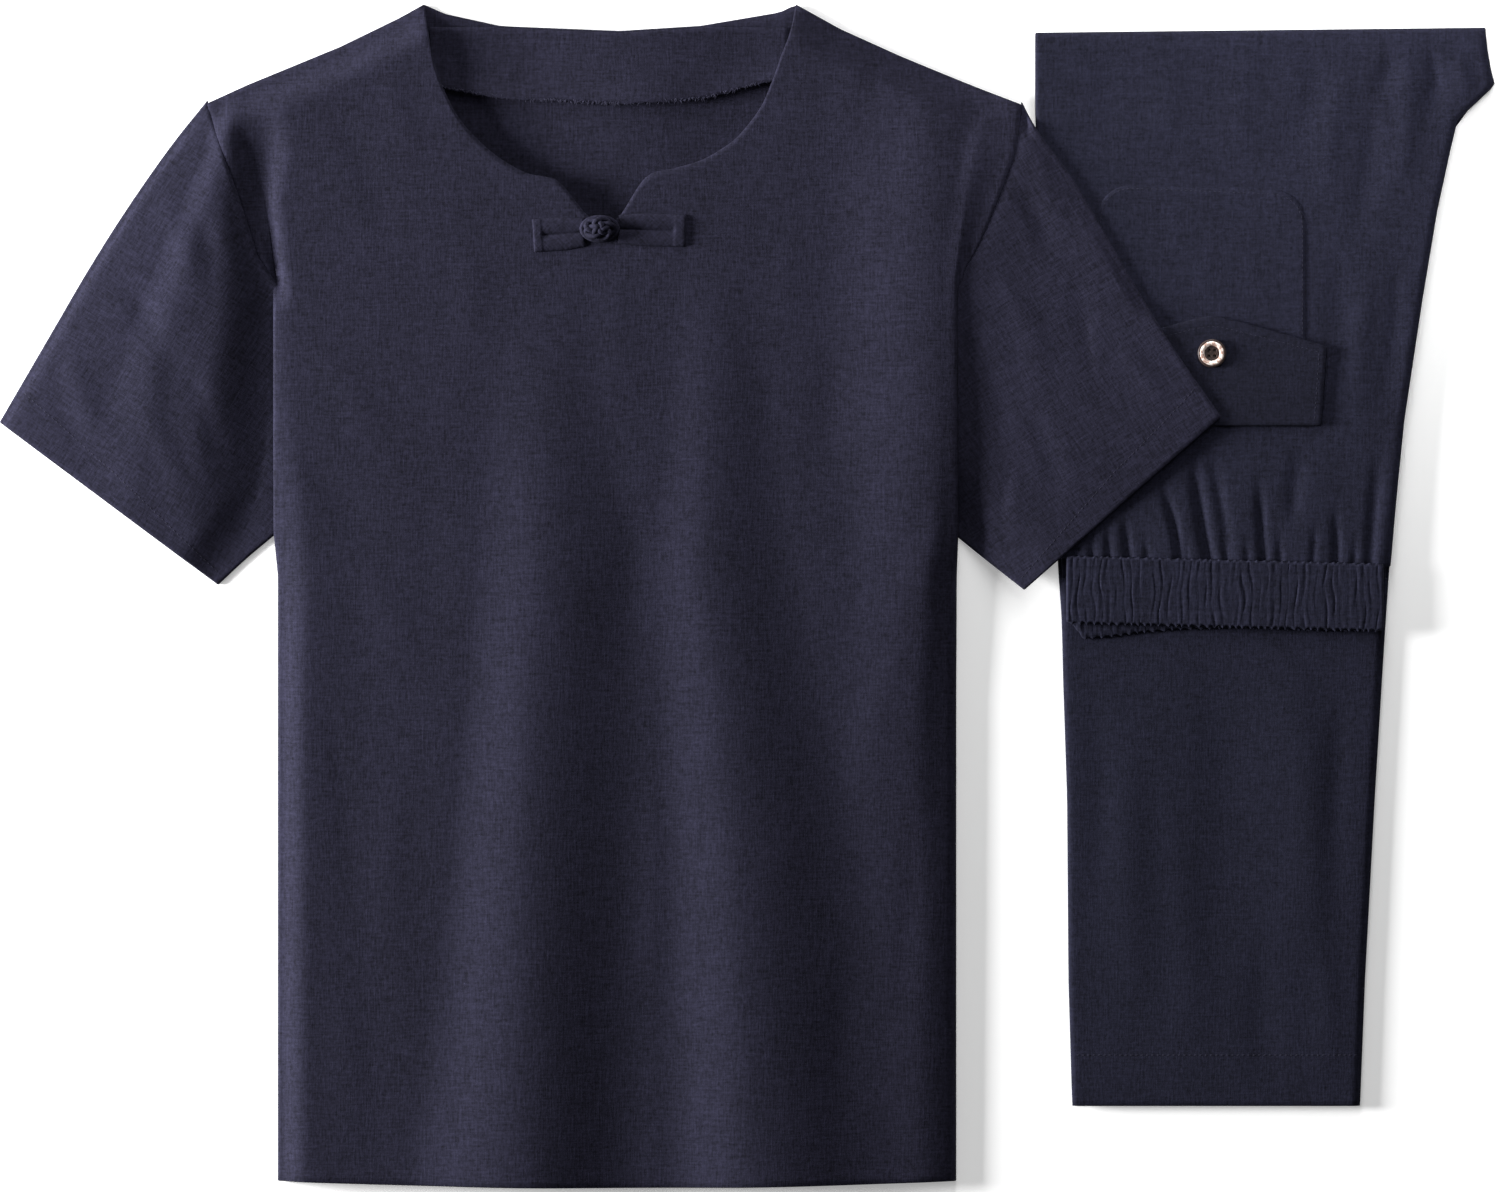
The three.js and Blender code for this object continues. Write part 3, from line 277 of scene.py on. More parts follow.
# Soft creases: both ends, half width, depth (negative is a trough), and bow
FRONT_CREASES = rows(
    "x0 y0 x1 y1 width depth bow",
    (-250, 292, -214, 205, 9, -0.5, 6), (-215, 316, -196, 262, 8, 0.5, -4),
    (96, 300, 84, 214, 10, -0.45, -5), (62, 322, 52, 262, 8, 0.4, 3),
    (-263, 150, -226, 92, 9, 0.45, 6), (-268, 96, -214, 30, 10, -0.5, -7),
    (-238, 30, -204, -52, 11, 0.4, 5), (-252, -60, -240, -190, 8, -0.35, 4),
    (-214, -110, -206, -262, 11, 0.4, -5), (-246, -236, -236, -340, 9, 0.35, 3),
    (108, 60, 66, -8, 10, -0.5, 5), (92, -30, 70, -118, 10, 0.45, -4),
    (98, -140, 88, -264, 8, -0.35, 3), (52, 150, 44, 70, 12, -0.4, 3),
    (-82, 190, -80, 110, 12, 0.35, 2), (-66, 60, -70, -60, 13, -0.5, -3),
    (-58, -120, -64, -250, 11, 0.45, 4), (60, -220, 56, -340, 12, -0.45, -3),
    (-170, 210, -166, 130, 12, 0.3, 3), (-190, 60, -182, -40, 12, -0.3, -4),
    (24, 210, 18, 150, 11, 0.35, 2), (-176, -200, -178, -330, 10, -0.4, 3),
)
BACK_CREASES = rows(
    "x0 y0 x1 y1 width depth bow",
    (-214, 250, -190, 120, 14, 0.5, 8), (-120, 330, -126, 220, 14, 0.4, -5),
    (-40, 200, -52, 60, 15, 0.5, 6), (40, 240, 52, 90, 13, 0.45, -6),
    (-160, 40, -150, -120, 16, 0.5, 6), (-60, -40, -66, -240, 15, 0.5, -7),
    (20, -60, 30, -220, 14, 0.45, 5), (-110, -180, -104, -320, 13, 0.4, -4),
)
LEFT_SLEEVE_CREASES = rows(
    "x0 y0 x1 y1 width depth bow",
    (-352, 236, -330, 168, 8, 0.9, 5), (-376, 190, -340, 96, 9, -0.9, 8),
    (-408, 150, -372, 78, 8, 0.8, -6), (-340, 140, -316, 70, 7, -0.7, 4),
    (-330, 232, -312, 190, 6, -0.6, -3), (-420, 118, -398, 84, 6, -0.5, 3),
    (-362, 110, -336, 44, 7, 0.6, 4),
)
RIGHT_SLEEVE_CREASES = rows(
    "x0 y0 x1 y1 width depth bow",
    (158.7, 243.3, 182.1, 203.1, 6, -1, 4), (174, 262, 196, 222, 7, 0.6, -4),
    (150, 190, 176, 120, 8, 0.6, 6), (196, 190, 222, 128, 8, -0.7, -5),
    (168, 110, 186, 52, 7, -0.6, 4), (220, 150, 250, 108, 7, 0.6, 3),
    (138, 150, 152, 92, 6, -0.5, 3),
)

LEFT_SLEEVE = dict(
    outer=rows("x y", (-324.6, 294.9), (-346.5, 267.3), (-371.7, 231.3), (-394.5, 195.3),
               (-415.5, 159.3), (-447.9, 103.5)),
    under=rows("x y", (-282, 40.5), (-302, 23.5), (-318.9, 7.5)),
    side=LEFT_SIDE, sign=-1, creases=LEFT_SLEEVE_CREASES, rim=0.02,
)
RIGHT_SLEEVE = dict(
    outer=rows("x y", (163.8, 293.7), (173, 276.5), (194.1, 247.5), (209.1, 222.3),
               (246.9, 157.5), (281.7, 106.5)),
    under=rows("x y", (123, 39.3), (144.9, 21.3), (165.9, 4.5)),
    side=RIGHT_SIDE, sign=1, creases=RIGHT_SLEEVE_CREASES, rim=0.05,
)
UNDER_RIM = 0.19
OUTER_SLOPE = (LEFT_SLEEVE["outer"]["x"][-1] - LEFT_SLEEVE["outer"]["x"][-2]) / (
    LEFT_SLEEVE["outer"]["y"][-1] - LEFT_SLEEVE["outer"]["y"][-2])

TROUSER_SIDES = rows(
    "y left right",
    (345, 171.9, 441.5), (321, 171.9, 443.7), (306, 171.9, 447.6), (295, 171.9, 435.9),
    (285, 172, 425.1), (267, 173, 420.9), (231, 174.8, 413.1), (177, 177.6, 404.1),
    (105, 181.2, 393.3), (17, 185.7, 384.5), (-15, 187.9, 382.3), (-50, 188.7, 380.1),
    (-122, 191.1, 375.7), (-230, 191.9, 369.9), (-306, 194.1, 366.9),
)

# Gathers above the waistband: from the band up, half width at the band, and depth
GATHERS = rows(
    "x0 y0 x1 y1 width depth bow",
    (208, 4, 205, 36, 1.9, -1.5, 0), (218.6, 4, 215, 42, 2, -1.5, 0.6),
    (231.3, 4, 225.5, 46, 2.2, -1.8, 1), (258, -4, 246, 70, 2.5, -2.4, -5),
    (286.7, -14, 266, 86, 2.9, -2.7, 3), (290, 24, 278, 86, 3.2, -1.1, 1),
    (292.4, 4, 283, 40, 1.8, -1.2, 0.6), (312.1, -4, 306, 68, 2.4, -2.1, 1),
    (326, 44, 331, 88, 5, -1, 1), (353.8, -4, 352, 52, 2.2, -1.8, 0.6),
    (370.3, -14, 378, 86, 3.4, -1.6, 1), (196, -4, 196, 54, 2, -1, 0.4),
    (242, 4, 238, 34, 1.6, -0.9, 0.3), (265, 4, 262, 38, 1.6, -0.9, 0.4),
    (301, 4, 298, 36, 1.6, -0.8, 0.3), (320, 4, 318, 40, 1.8, -0.9, 0.4),
    (337, 4, 340, 44, 1.8, -1, 0.4), (362, 4, 364, 38, 1.7, -0.9, 0.3),
)
# Creases of the upper panel: the dragged folds near the crotch side, and soft ones
PANEL_CREASES = rows(
    "x0 y0 x1 y1 width depth bow",
    (409.5, 326, 409.5, 284, 5, -1.4, 2), (387, 323, 376, 297, 6, -1.1, 0),
    (374, 297, 364, 214, 7, -0.9, 3), (395, 324, 390, 240, 6, 0.9, 2),
    (426, 322, 430, 296, 5, 1, 0), (360, 318, 346, 232, 8, 0.7, -4),
    (340, 326, 322, 262, 9, -0.6, 5), (302, 330, 296, 258, 10, 0.5, -4),
    (214, 322, 210, 262, 9, -0.4, 3), (250, 320, 246, 268, 10, 0.4, 3),
    (352, 204, 350, 132, 8, -0.6, 3), (372, 190, 366, 96, 7, 0.7, -3),
    (388, 200, 380, 110, 5, -0.6, 3), (196, 232, 194, 190, 7, 0.4, 2),
)
LEG_CREASES = rows(
    "x0 y0 x1 y1 width depth bow",
    (324, -36, 338, -236, 15, 0.9, 5), (228, -90, 236, -262, 13, 0.7, -4),
    (282, -40, 286, -230, 20, -1, 4), (206, -44, 210, -200, 8, -0.4, 3),
    (356, -60, 352, -220, 8, -0.6, -3), (258, -150, 262, -290, 12, 0.5, 3),
    (308, -210, 314, -300, 10, -0.5, -3), (344, -210, 346, -296, 8, 0.4, 2),
)

FRONT_BAND_EDGE = rows(
    "x y",
    (193, -16), (197, -19.5), (200, -25), (215, -24), (233, -21.5), (255, -19.5), (296, -18.5),
    (334, -20), (350, -20.5), (376, -20),
)


# Numbers

def lerp(a, b, t):
    return a + (b - a) * t


def soft(low, high, value):
    """0 below low, 1 above high, and a soft step between them."""
    t = np.clip((value - low) / (high - low), 0, 1)
    return t * t * (3 - 2 * t)


def between(table, key, place, column):
    order = np.argsort(table[key], kind="stable")
    return np.interp(place, table[key][order], table[column][order])


def points_of(table):
    return np.column_stack([table["x"], table["y"]])


def smooth_line(points, step):
    """A smooth curve through the points, with a point about every step."""
    p = np.asarray(points, float)
    ended = np.vstack([2 * p[0] - p[1], p, 2 * p[-1] - p[-2]])
    stretches = []
    for i in range(len(p) - 1):
        a, b, c, d = ended[i:i + 4]
        count = max(int(np.ceil(np.linalg.norm(c - b) / step)), 1)
        t = (np.arange(count) / count)[:, None]
        cubic = 3 * b - a - 3 * c + d
        square = 2 * a - 5 * b + 4 * c - d
        stretches.append(0.5 * (2 * b + (c - a) * t + square * t**2 + cubic * t**3))
    return np.vstack(stretches + [p[-1:]])


def along_line(points, share):
    """Points at shares of the way along a line."""
    p = np.asarray(points, float)
    lengths = np.concatenate([[0], np.cumsum(np.linalg.norm(np.diff(p, axis=0), axis=1))])
    place = np.clip(share, 0, 1) * lengths[-1]
    return np.stack([np.interp(place, lengths, p[:, k]) for k in range(p.shape[1])], axis=-1)


def spaced_line(points, step):
    length = np.linalg.norm(np.diff(points, axis=0), axis=1).sum()
    return along_line(points, np.linspace(0, 1, max(int(length / step), 2)))


def crease_field(table, x, y):
    """Height added at x, y by the table's creases: soft troughs and ridges that taper out."""
    total = np.zeros(np.broadcast(x, y).shape)
    for x0, y0, x1, y1, width, depth, bow in zip(*table.values()):
        length = math.hypot(x1 - x0, y1 - y0)
        ux, uy = (x1 - x0) / length, (y1 - y0) / length
        t = ((x - x0) * ux + (y - y0) * uy) / length
        bent = bow * np.sin(np.pi * np.clip(t, 0, 1))
        away = (x - x0) * -uy + (y - y0) * ux - bent
        wide = width * (0.8 + 0.5 * np.clip(t, 0, 1))
        taper = soft(-0.12, 0.3, t) * (1 - soft(0.6, 1.12, t))
        total = total + depth * np.exp(-((away / wide) ** 2)) * taper
    return total


# Meshes

def mesh_piece(name, shape, material, node=None):
    """A smooth-shaded piece from points in millimetres and faces, which it turns outwards."""
    points, faces = shape
    points = np.asarray(points, float) * MM
    faces = [tuple(int(i) for i in face) for face in faces]
    corners = np.array([[face[0], face[k], face[k + 1]] for face in faces for k in range(1, len(face) - 1)])
    a, b, c = (points[corners[:, k]] for k in range(3))
    if np.einsum("ij,ij->i", a, np.cross(b, c)).sum() < 0:
        faces = [face[::-1] for face in faces]
    mesh = bpy.data.meshes.new(name)
    mesh.from_pydata([tuple(p) for p in points], [], faces)
    mesh.update()
    mesh.polygons.foreach_set("use_smooth", [True] * len(mesh.polygons))
    piece = bpy.data.objects.new(name, mesh)
    bpy.context.scene.collection.objects.link(piece)
    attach(piece, "root")
    if node:
        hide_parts(node)
    mesh.materials.append(material)
    return piece


def unit(vectors):
    return vectors / np.maximum(np.linalg.norm(vectors, axis=-1, keepdims=True), 1e-9)


def wall(middle, thickness, wrap=False):
    """Points and faces of a cloth wall round a grid of middle points, with a rounded rim.

    Rows run down and columns across. With wrap the columns close into a tube.
    """
    middle = np.asarray(middle, float)
    row_count, column_count = middle.shape[:2]
    if wrap:
        across = np.roll(middle, -1, axis=1) - np.roll(middle, 1, axis=1)
    else:
        across = np.gradient(middle, axis=1)
    down = np.gradient(middle, axis=0)
    half = np.asarray(thickness, float)[..., None] / 2 if np.ndim(thickness) else thickness / 2
    normal = unit(np.cross(down, across))
    outer = middle + normal * half
    inner = middle - normal * half
    count = row_count * column_count
    index = np.arange(count).reshape(row_count, column_count)
    right = np.roll(index, -1, axis=1) if wrap else index[:, 1:]
    left = index if wrap else index[:, :-1]
    a, b, d, e = left[:-1], left[1:], right[1:], right[:-1]
    top = np.stack([a, b, d, e], axis=-1).reshape(-1, 4)
    faces = np.vstack([top, top[:, ::-1] + count])
    rims = []
    if wrap:
        first = [(0, c) for c in range(column_count)]
        last = [(row_count - 1, c) for c in reversed(range(column_count))]
        loops = [first, last]
    else:
        loop = [(0, c) for c in range(column_count - 1)]
        loop += [(r, column_count - 1) for r in range(row_count - 1)]
        loop += [(row_count - 1, c) for c in range(column_count - 1, 0, -1)]
        loop += [(r, 0) for r in range(row_count - 1, 0, -1)]
        loops = [loop]
    start = 2 * count
    for loop in loops:
        r, c = np.array(loop).T
        out = np.zeros((len(loop), 3))
        out[r == 0] -= unit(down)[r[r == 0], c[r == 0]]
        out[r == row_count - 1] += unit(down)[r[r == row_count - 1], c[r == row_count - 1]]
        if not wrap:
            out[c == 0] -= unit(across)[r[c == 0], c[c == 0]]
            out[c == column_count - 1] += unit(across)[r[c == column_count - 1], c[c == column_count - 1]]
        half_here = half[r, c] if np.ndim(half) else half
        rims.append(middle[r, c] + unit(out) * half_here)
        edge = index[r, c]
        rim = start + np.arange(len(loop))
        for low, high in ((edge, rim), (rim, edge + count)):
            faces = np.vstack([faces, np.stack([low, np.roll(low, -1), np.roll(high, -1), high], axis=-1)])
        start += len(loop)
    points = np.vstack([outer.reshape(-1, 3), inner.reshape(-1, 3), *rims])
    points[:, 2] = np.maximum(points[:, 2], 0)
    return points, faces


def cloth(node, middle, thickness, material, wrap=False):
    return mesh_piece(node + "_cloth", wall(middle, thickness, wrap), material, node)


def ring_faces(ring_count, size, closed=False):
    """Faces between rings of points: a closed run of rings, or an open one with a cap at each end."""
    faces = []
    for r in range(ring_count if closed else ring_count - 1):
        n = (r + 1) % ring_count
        for i in range(size):
            j = (i + 1) % size
            faces.append((r * size + i, r * size + j, n * size + j, n * size + i))
    if not closed:
        faces.append(tuple(range(size))[::-1])
        faces.append(tuple(range((ring_count - 1) * size, ring_count * size)))
    return faces


def round_section(line, ahead, radii, sides):
    """Points of a ring of the given radius round each point of a line."""
    side = unit(np.cross(ahead, [0, 0, 1.0]))
    above = np.cross(side, ahead)
    turns = np.arange(sides) * 2 * np.pi / sides
    ring = side[:, None] * np.cos(turns)[None, :, None] + above[:, None] * np.sin(turns)[None, :, None]
    return (line[:, None] + ring * np.asarray(radii, float)[:, None, None]).reshape(-1, 3)


def tube(line, radii, sides):
    """Points and faces of a closed tube along a line, with a radius at each of its points."""
    line = np.asarray(line, float)
    ahead = unit(np.gradient(line, axis=0))
    return round_section(line, ahead, radii, sides), ring_faces(len(line), sides)


def ring_cord(line, radius, sides=12):
    """Points and faces of a cord along a closed line."""
    ahead = unit(np.roll(line, -1, axis=0) - np.roll(line, 1, axis=0))
    points = round_section(line, ahead, np.full(len(line), radius), sides)
    return points, ring_faces(len(line), sides, closed=True)


def joined(parts):
    """One list of points and one of faces from many."""
    points, faces, start = [], [], 0
    for part_points, part_faces in parts:
        points.append(part_points)
        faces.extend(tuple(i + start for i in face) for face in part_faces)
        start += len(part_points)
    return np.vstack(points), faces


def stitches(line, pitch, length, radius, sink=0.3):
    """Rounded stitches laid end to end along a line of 3-D points."""
    line = np.asarray(line, float)
    total = np.linalg.norm(np.diff(line, axis=0), axis=1).sum()
    starts = np.arange(pitch / 2, total - length, pitch)
    parts = []
    for begin in starts:
        shares = (begin + np.linspace(0, length, 4)) / total
        run = along_line(line, shares)
        run[:, 2] += radius * (1 - sink) * np.array([-0.9, 0.15, 0.15, -0.9])
        parts.append(tube(run, [0.45 * radius, radius, radius, 0.45 * radius], 6))
    return joined(parts)


# The top's front

def shoulder_y(x):
    return between(SHOULDER, "x", x, "y")


def hem_y(x):
    from_middle = (x + 78.8) / 200
    return HEM_Y - HEM_SAG * (1 - np.clip(from_middle**2, 0, 1))


def fold_height(fold, x, y):
    crest = between(fold, "y", y, "x")
    width = np.where(x < crest, between(fold, "y", y, "left"), between(fold, "y", y, "right"))
    away = np.clip(np.abs(x - crest) / width, 0, 1)
    return between(fold, "y", y, "height") * (0.5 + 0.5 * np.cos(np.pi * away))


def hooked_share(y):
    """1 where the front's side hangs over the sleeve, 0 where the sleeve is sewn on flat."""
    return 1 - soft(HOOK_TOP_Y, VALLEY_END_Y, y)


def tip_lift(x, y):
    """How far the right shoulder's tip is lifted, where it comes to lie on the trousers."""
    return TIP_LIFT * soft(118, 162, x) * soft(215, 288, y)


def from_shoulder(x, y, height):
    """A height that starts thin at the shoulder's fold and is full a little way below it."""
    start = SHOULDER_HEIGHT + tip_lift(x, y)
    return lerp(start, np.maximum(height, start), soft(0, SHOULDER_FALL, shoulder_y(x) - y))


def front_height(x, y):
    """Middle height of the front between its two side crests."""
    left = x - between(LEFT_SIDE, "y", y, "crest")
    right = between(RIGHT_SIDE, "y", y, "crest") - x
    full = PLATEAU + sum(fold_height(fold, x, y) for fold in FOLDS)
    full = full + crease_field(FRONT_CREASES, x, y)
    for inset, side in ((left, LEFT_SIDE), (right, RIGHT_SIDE)):
        roll = (1 - np.clip(inset / between(side, "y", y, "roll"), 0, 1)) ** 2.2
        full = lerp(full, between(side, "y", y, "height"), roll)
    return from_shoulder(x, y, full + fold_height(LEFT_VALLEY, x, y) * (1 - hooked_share(y)))


def arm_height(sign, x, y):
    """Middle height of the upper cloth from the body's side out over the sleeve."""
    if sign > 0:
        out = (x - between(RIGHT_SIDE, "y", y, "crest") - RIGHT_ARM_START) / RIGHT_ARM_REACH
        out = (np.clip(out, 0, 1) + soft(0, 1, out)) / 2
        height = lerp(between(RIGHT_ARM, "y", y, "near"), between(RIGHT_ARM, "y", y, "far"), out)
        return from_shoulder(x, y, height)
    outer_line = LEFT_SLEEVE["outer"]
    past_cuff = np.minimum(y - outer_line["y"][-1], 0) * OUTER_SLOPE
    outer = between(outer_line, "y", y, "x") + past_cuff
    share = np.clip((x - outer) / (between(LEFT_FOLD, "y", y, "x") - outer), 0, 1)
    rise = 0.2 * (1 - (1 - np.minimum(share / 0.14, 1)) ** 2) + 0.42 * np.sin(np.pi * share / 2)
    rise = rise + 0.38 * soft(0.62, 1, share)
    height = lerp(SHOULDER_HEIGHT, between(LEFT_FOLD, "y", y, "height"), rise)
    return from_shoulder(x, y, height + fold_height(LEFT_VALLEY, x, y))


def front_side(side, sign, step, y):
    """Points of the front past its side crest. step runs from 0 at the crest to 5."""
    steps = np.arange(len(SEAM_SHARES))
    hook, roll = (
        {key: np.interp(step, steps, table[key]) for key in ("out", "down")} for table in (HOOK, ROLL)
    )
    crest = between(side, "y", y, "crest")
    height = front_height(crest, y)
    reach = np.abs(between(side, "y", np.maximum(y, VALLEY_END_Y), "armhole") - crest) - GAP / 2
    hooked = hooked_share(y)
    rolled = 1 - np.clip((y - ROLL_Y) / (ARMPIT_Y - ROLL_Y), 0, 1)
    to_seam = np.maximum(np.interp(step, steps, SEAM_SHARES) * reach, 0.3 * step)
    out = lerp(to_seam, lerp(hook["out"], roll["out"], rolled), hooked)
    x = crest + sign * out
    seam_z = lerp(height, arm_height(sign, x, y), soft(0, 4, step))
    down = lerp(hook["down"], roll["down"] * (height - HALF), rolled)
    z = np.maximum(lerp(seam_z, height - down, hooked), HALF)
    return np.stack(np.broadcast_arrays(x, y, z), axis=-1)


def front_grid(column_step=3.6, row_count=188, side_columns=10):
    tip_left, tip_right = SHOULDER["x"][1], SHOULDER["x"][-2]
    neck_left, neck_right = NECKLINE["x"][0], NECKLINE["x"][-1]
    xs_left = np.linspace(tip_left, neck_left, int((neck_left - tip_left) / column_step))
    xs_right = np.linspace(neck_right, tip_right, int((tip_right - neck_right) / column_step))
    neck = smooth_line(points_of(NECKLINE), column_step)
    starts = np.vstack([
        np.column_stack([xs_left, shoulder_y(xs_left)])[:-1],
        neck,
        np.column_stack([xs_right, shoulder_y(xs_right)])[1:],
    ])
    ends = np.linspace(LEFT_SIDE["crest"][-1], RIGHT_SIDE["crest"][-1], len(starts))
    share = np.linspace(0, 1, row_count)[:, None]
    y = lerp(starts[:, 1], hem_y(ends), share)
    straight = lerp(starts[:, 0], ends, share)
    low = lerp(starts[0, 0], ends[0], share)
    high = lerp(starts[-1, 0], ends[-1], share)
    crest_low = between(LEFT_SIDE, "y", y, "crest")
    crest_high = between(RIGHT_SIDE, "y", y, "crest")
    fitted = crest_low + (straight - low) / (high - low) * (crest_high - crest_low)
    x = lerp(straight, fitted, soft(0, 0.06, share))
    middle = np.stack([x, y, front_height(x, y)], axis=-1)
    steps = np.linspace(0, 5, side_columns + 1)[1:]
    sides = []
    for side, sign in ((LEFT_SIDE, -1), (RIGHT_SIDE, 1)):
        to_seam = np.interp(steps, np.arange(6), SEAM_SHARES)
        top = shoulder_y(between(side, "y", 300, "crest") + sign * to_seam * 24)
        side_y = lerp(top, hem_y(sign * 1000), share)
        sides.append(front_side(side, sign, np.broadcast_to(steps, side_y.shape), side_y))
    return np.concatenate([sides[0][:, ::-1], middle, sides[1]], axis=1)


# The top's back, which lies on the surface and rises over the turned-under sides

def neck_rise(x, y):
    """How the back rounds up a little inside the neck, most just under the facing's edge."""
    return fold_height(NECK_FOLD, x, y)


def back_height(x, y):
    left = x - between(LEFT_SIDE, "y", y, "crest")
    right = between(RIGHT_SIDE, "y", y, "crest") - x
    inside = np.minimum(left, right)
    over_turned = 1 - soft(TURNED_END + 1, TURNED_END + BACK_RISE, inside)
    below_armpit = 1 - soft(TURNED_TOP_Y + 4, ARMPIT_Y - 4, y)
    relief = np.maximum(crease_field(BACK_CREASES, x, y), 0) * (1 - over_turned)
    raised = np.maximum(relief, neck_rise(x, y)) + tip_lift(x, y) * TIP_SHARE
    return HALF + (TURNED_HEIGHT + GAP) * over_turned * below_armpit + raised


def back_edge(side, sign, y):
    armhole = between(side, "y", y, "armhole") - sign * GAP / 2
    tucked = between(side, "y", y, "crest") - sign * BACK_TUCK
    return lerp(tucked, armhole, soft(ARMPIT_Y + 3, ARMPIT_Y + 12, y))


def back_grid(column_count=110, row_count=130):
    xs = np.linspace(SHOULDER["x"][0], SHOULDER["x"][-1], column_count)
    neck_y = between(BACK_NECK, "x", xs, "y")
    in_neck = (xs > BACK_NECK["x"][0]) & (xs < BACK_NECK["x"][-1])
    top = np.where(in_neck, neck_y, shoulder_y(xs))
    share = np.linspace(0, 1, row_count)[:, None]
    y = lerp(top, hem_y(xs) + CLOTH, share)
    low = back_edge(LEFT_SIDE, -1, y)
    high = back_edge(RIGHT_SIDE, 1, y)
    fitted = low + (xs - xs[0]) / (xs[-1] - xs[0]) * (high - low)
    x = lerp(np.broadcast_to(xs, y.shape), fitted, soft(0, 0.05, share))
    return np.stack([x, y, back_height(x, y)], axis=-1)


def turned_side_grid(side, sign, row_count=90):
    """The hidden part of a side: front and back turned under together, one fold inwards."""
    low, high = HALF, TURNED_HEIGHT - HALF
    radius = (high - low) / 2
    flat = np.linspace(TURNED_START + HALF, TURNED_END - HALF - radius, 15)
    bend = np.linspace(-90, 90, 7)[1:-1] * np.pi / 180
    inset = np.concatenate([flat, flat[-1] + radius * np.cos(bend), flat[::-1]])
    height = np.concatenate([
        np.full(15, low), (low + high) / 2 + radius * np.sin(bend), np.full(15, high),
    ])
    y = np.linspace(TURNED_TOP_Y, HEM_Y + 2, row_count)[:, None]
    crest = between(side, "y", y, "crest")
    uneven = 0.9 * np.sin(y / 47 + sign) + 0.6 * np.sin(y / 19)
    x = crest - sign * (inset + uneven * inset / TURNED_END * 0.6)
    return np.stack(np.broadcast_arrays(x, y, height), axis=-1)


# Sleeves

def sleeve_place(sleeve, along, across):
    """A sleeve's point from above: along from armhole to cuff, across from the outer edge."""
    outer_line, under_line = points_of(sleeve["outer"]), points_of(sleeve["under"])
    arm_y = lerp(outer_line[0, 1], under_line[0, 1], across)
    arm_x = between(sleeve["side"], "y", arm_y, "armhole") + sleeve["sign"] * GAP / 2
    outer = along_line(smooth_line(outer_line, 4), along)
    under = along_line(smooth_line(under_line, 4), along)
    straight_x = lerp(outer_line[0, 0], under_line[0, 0], across)
    x = lerp(outer[..., 0], under[..., 0], across) + (arm_x - straight_x) * (1 - along)
    return x, lerp(outer[..., 1], under[..., 1], across)


def right_sleeve_floor(x, y):
    """How high the right sleeve's lower layer lies over the trousers and the pocket flap."""
    trouser_edge = between(TROUSER_SIDES, "y", y, "left")
    start = between(RIGHT_SIDE, "y", y, "armhole")
    on_flap = soft(FLAP_CENTRE_X - FLAP_HALF - 16, FLAP_CENTRE_X - FLAP_HALF, x)
    on_flap = on_flap * soft(FLAP_Y - 16, FLAP_Y - 2, y)
    on_flap = on_flap * (1 - soft(FLAP_Y + FLAP_POINT - 8, FLAP_Y + FLAP_POINT + 12, y))
    ramp = np.minimum(SLEEVE_RAMP, np.maximum(trouser_edge - 2 - start, 4))
    droop = CORNER_DROOP * soft(4, 30, trouser_edge - x) * (1 - soft(20, 60, y))
    climbed = (SLEEVE_RIDE + FLAP_RIDE * on_flap - droop) * soft(0, 1, (x - start) / ramp)
    return np.maximum(climbed, tip_lift(x, y) * TIP_SHARE)


def sleeve_surface(sleeve, along, across, layer):
    """Middle points of a sleeve: layer is 1 for the upper one and 0 for the lower one."""
    x, y = sleeve_place(sleeve, along, across)
    floor = right_sleeve_floor(x, y) if sleeve["sign"] > 0 else np.zeros_like(x)
    edge = soft(0, sleeve["rim"], across) * soft(0, UNDER_RIM, 1 - across)
    flat = floor + SLEEVE_HIGH
    filled = arm_height(sleeve["sign"], x, y) + crease_field(sleeve["creases"], x, y) * soft(0, 0.12, across)
    from_seam = np.abs(x - between(sleeve["side"], "y", y, "armhole"))
    under_hook = between(sleeve["side"], "y", y, "height") - HOOK_CLEARANCE + np.maximum(from_seam - 3, 0)
    filled = lerp(filled, np.minimum(filled, under_hook), hooked_share(y))
    filled = filled - sleeve["sign"] * SEAM_STEP * (1 - soft(0, 7, from_seam)) * (1 - hooked_share(y))
    high = flat + np.maximum(filled - flat, 0) * edge
    return np.stack([x, y, lerp(floor + SLEEVE_LOW, high, layer)], axis=-1)


def sleeve_grid(sleeve, row_count=84, column_count=100):
    across = np.linspace(0, 1, column_count)
    bend = np.linspace(0, np.pi, 5)[1:-1]
    turn = 0.006 * np.sin(bend)
    across_ring = np.concatenate([across, 1 + turn, across[::-1], -turn])
    layer = np.concatenate([
        np.ones(column_count), 0.5 + 0.5 * np.cos(bend), np.zeros(column_count), 0.5 - 0.5 * np.cos(bend),
    ])
    along = np.linspace(0, 1, row_count)[:, None]
    grid_along, grid_across = np.broadcast_arrays(along, across_ring[None])
    return sleeve_surface(sleeve, grid_along, grid_across, layer)


# The facing inside the back of the neck, with its overlocked, slightly frayed edge

def facing_edges(x):
    neck = np.minimum(between(BACK_NECK, "x", x, "y") - FACING_SEAM, FACING_TOP_Y)
    return neck, between(FACING_EDGE, "x", x, "y")


def facing_grid():
    x = np.linspace(FACING_EDGE["x"][0], FACING_EDGE["x"][-1], 76)
    neck, lower = facing_edges(x)
    share = np.linspace(0, 1, 16)[:, None]
    y = lerp(neck, lower + 0.5 * np.sin(x * 0.9) + 0.35 * np.sin(x * 2.3), share)
    curl = (FACING_CURL + 0.5 * np.sin(x / 13)) * share**3
    height = back_height(x, y) + HALF + GAP + FACING_CLOTH / 2 + curl
    return np.stack(np.broadcast_arrays(x, y, height), axis=-1)


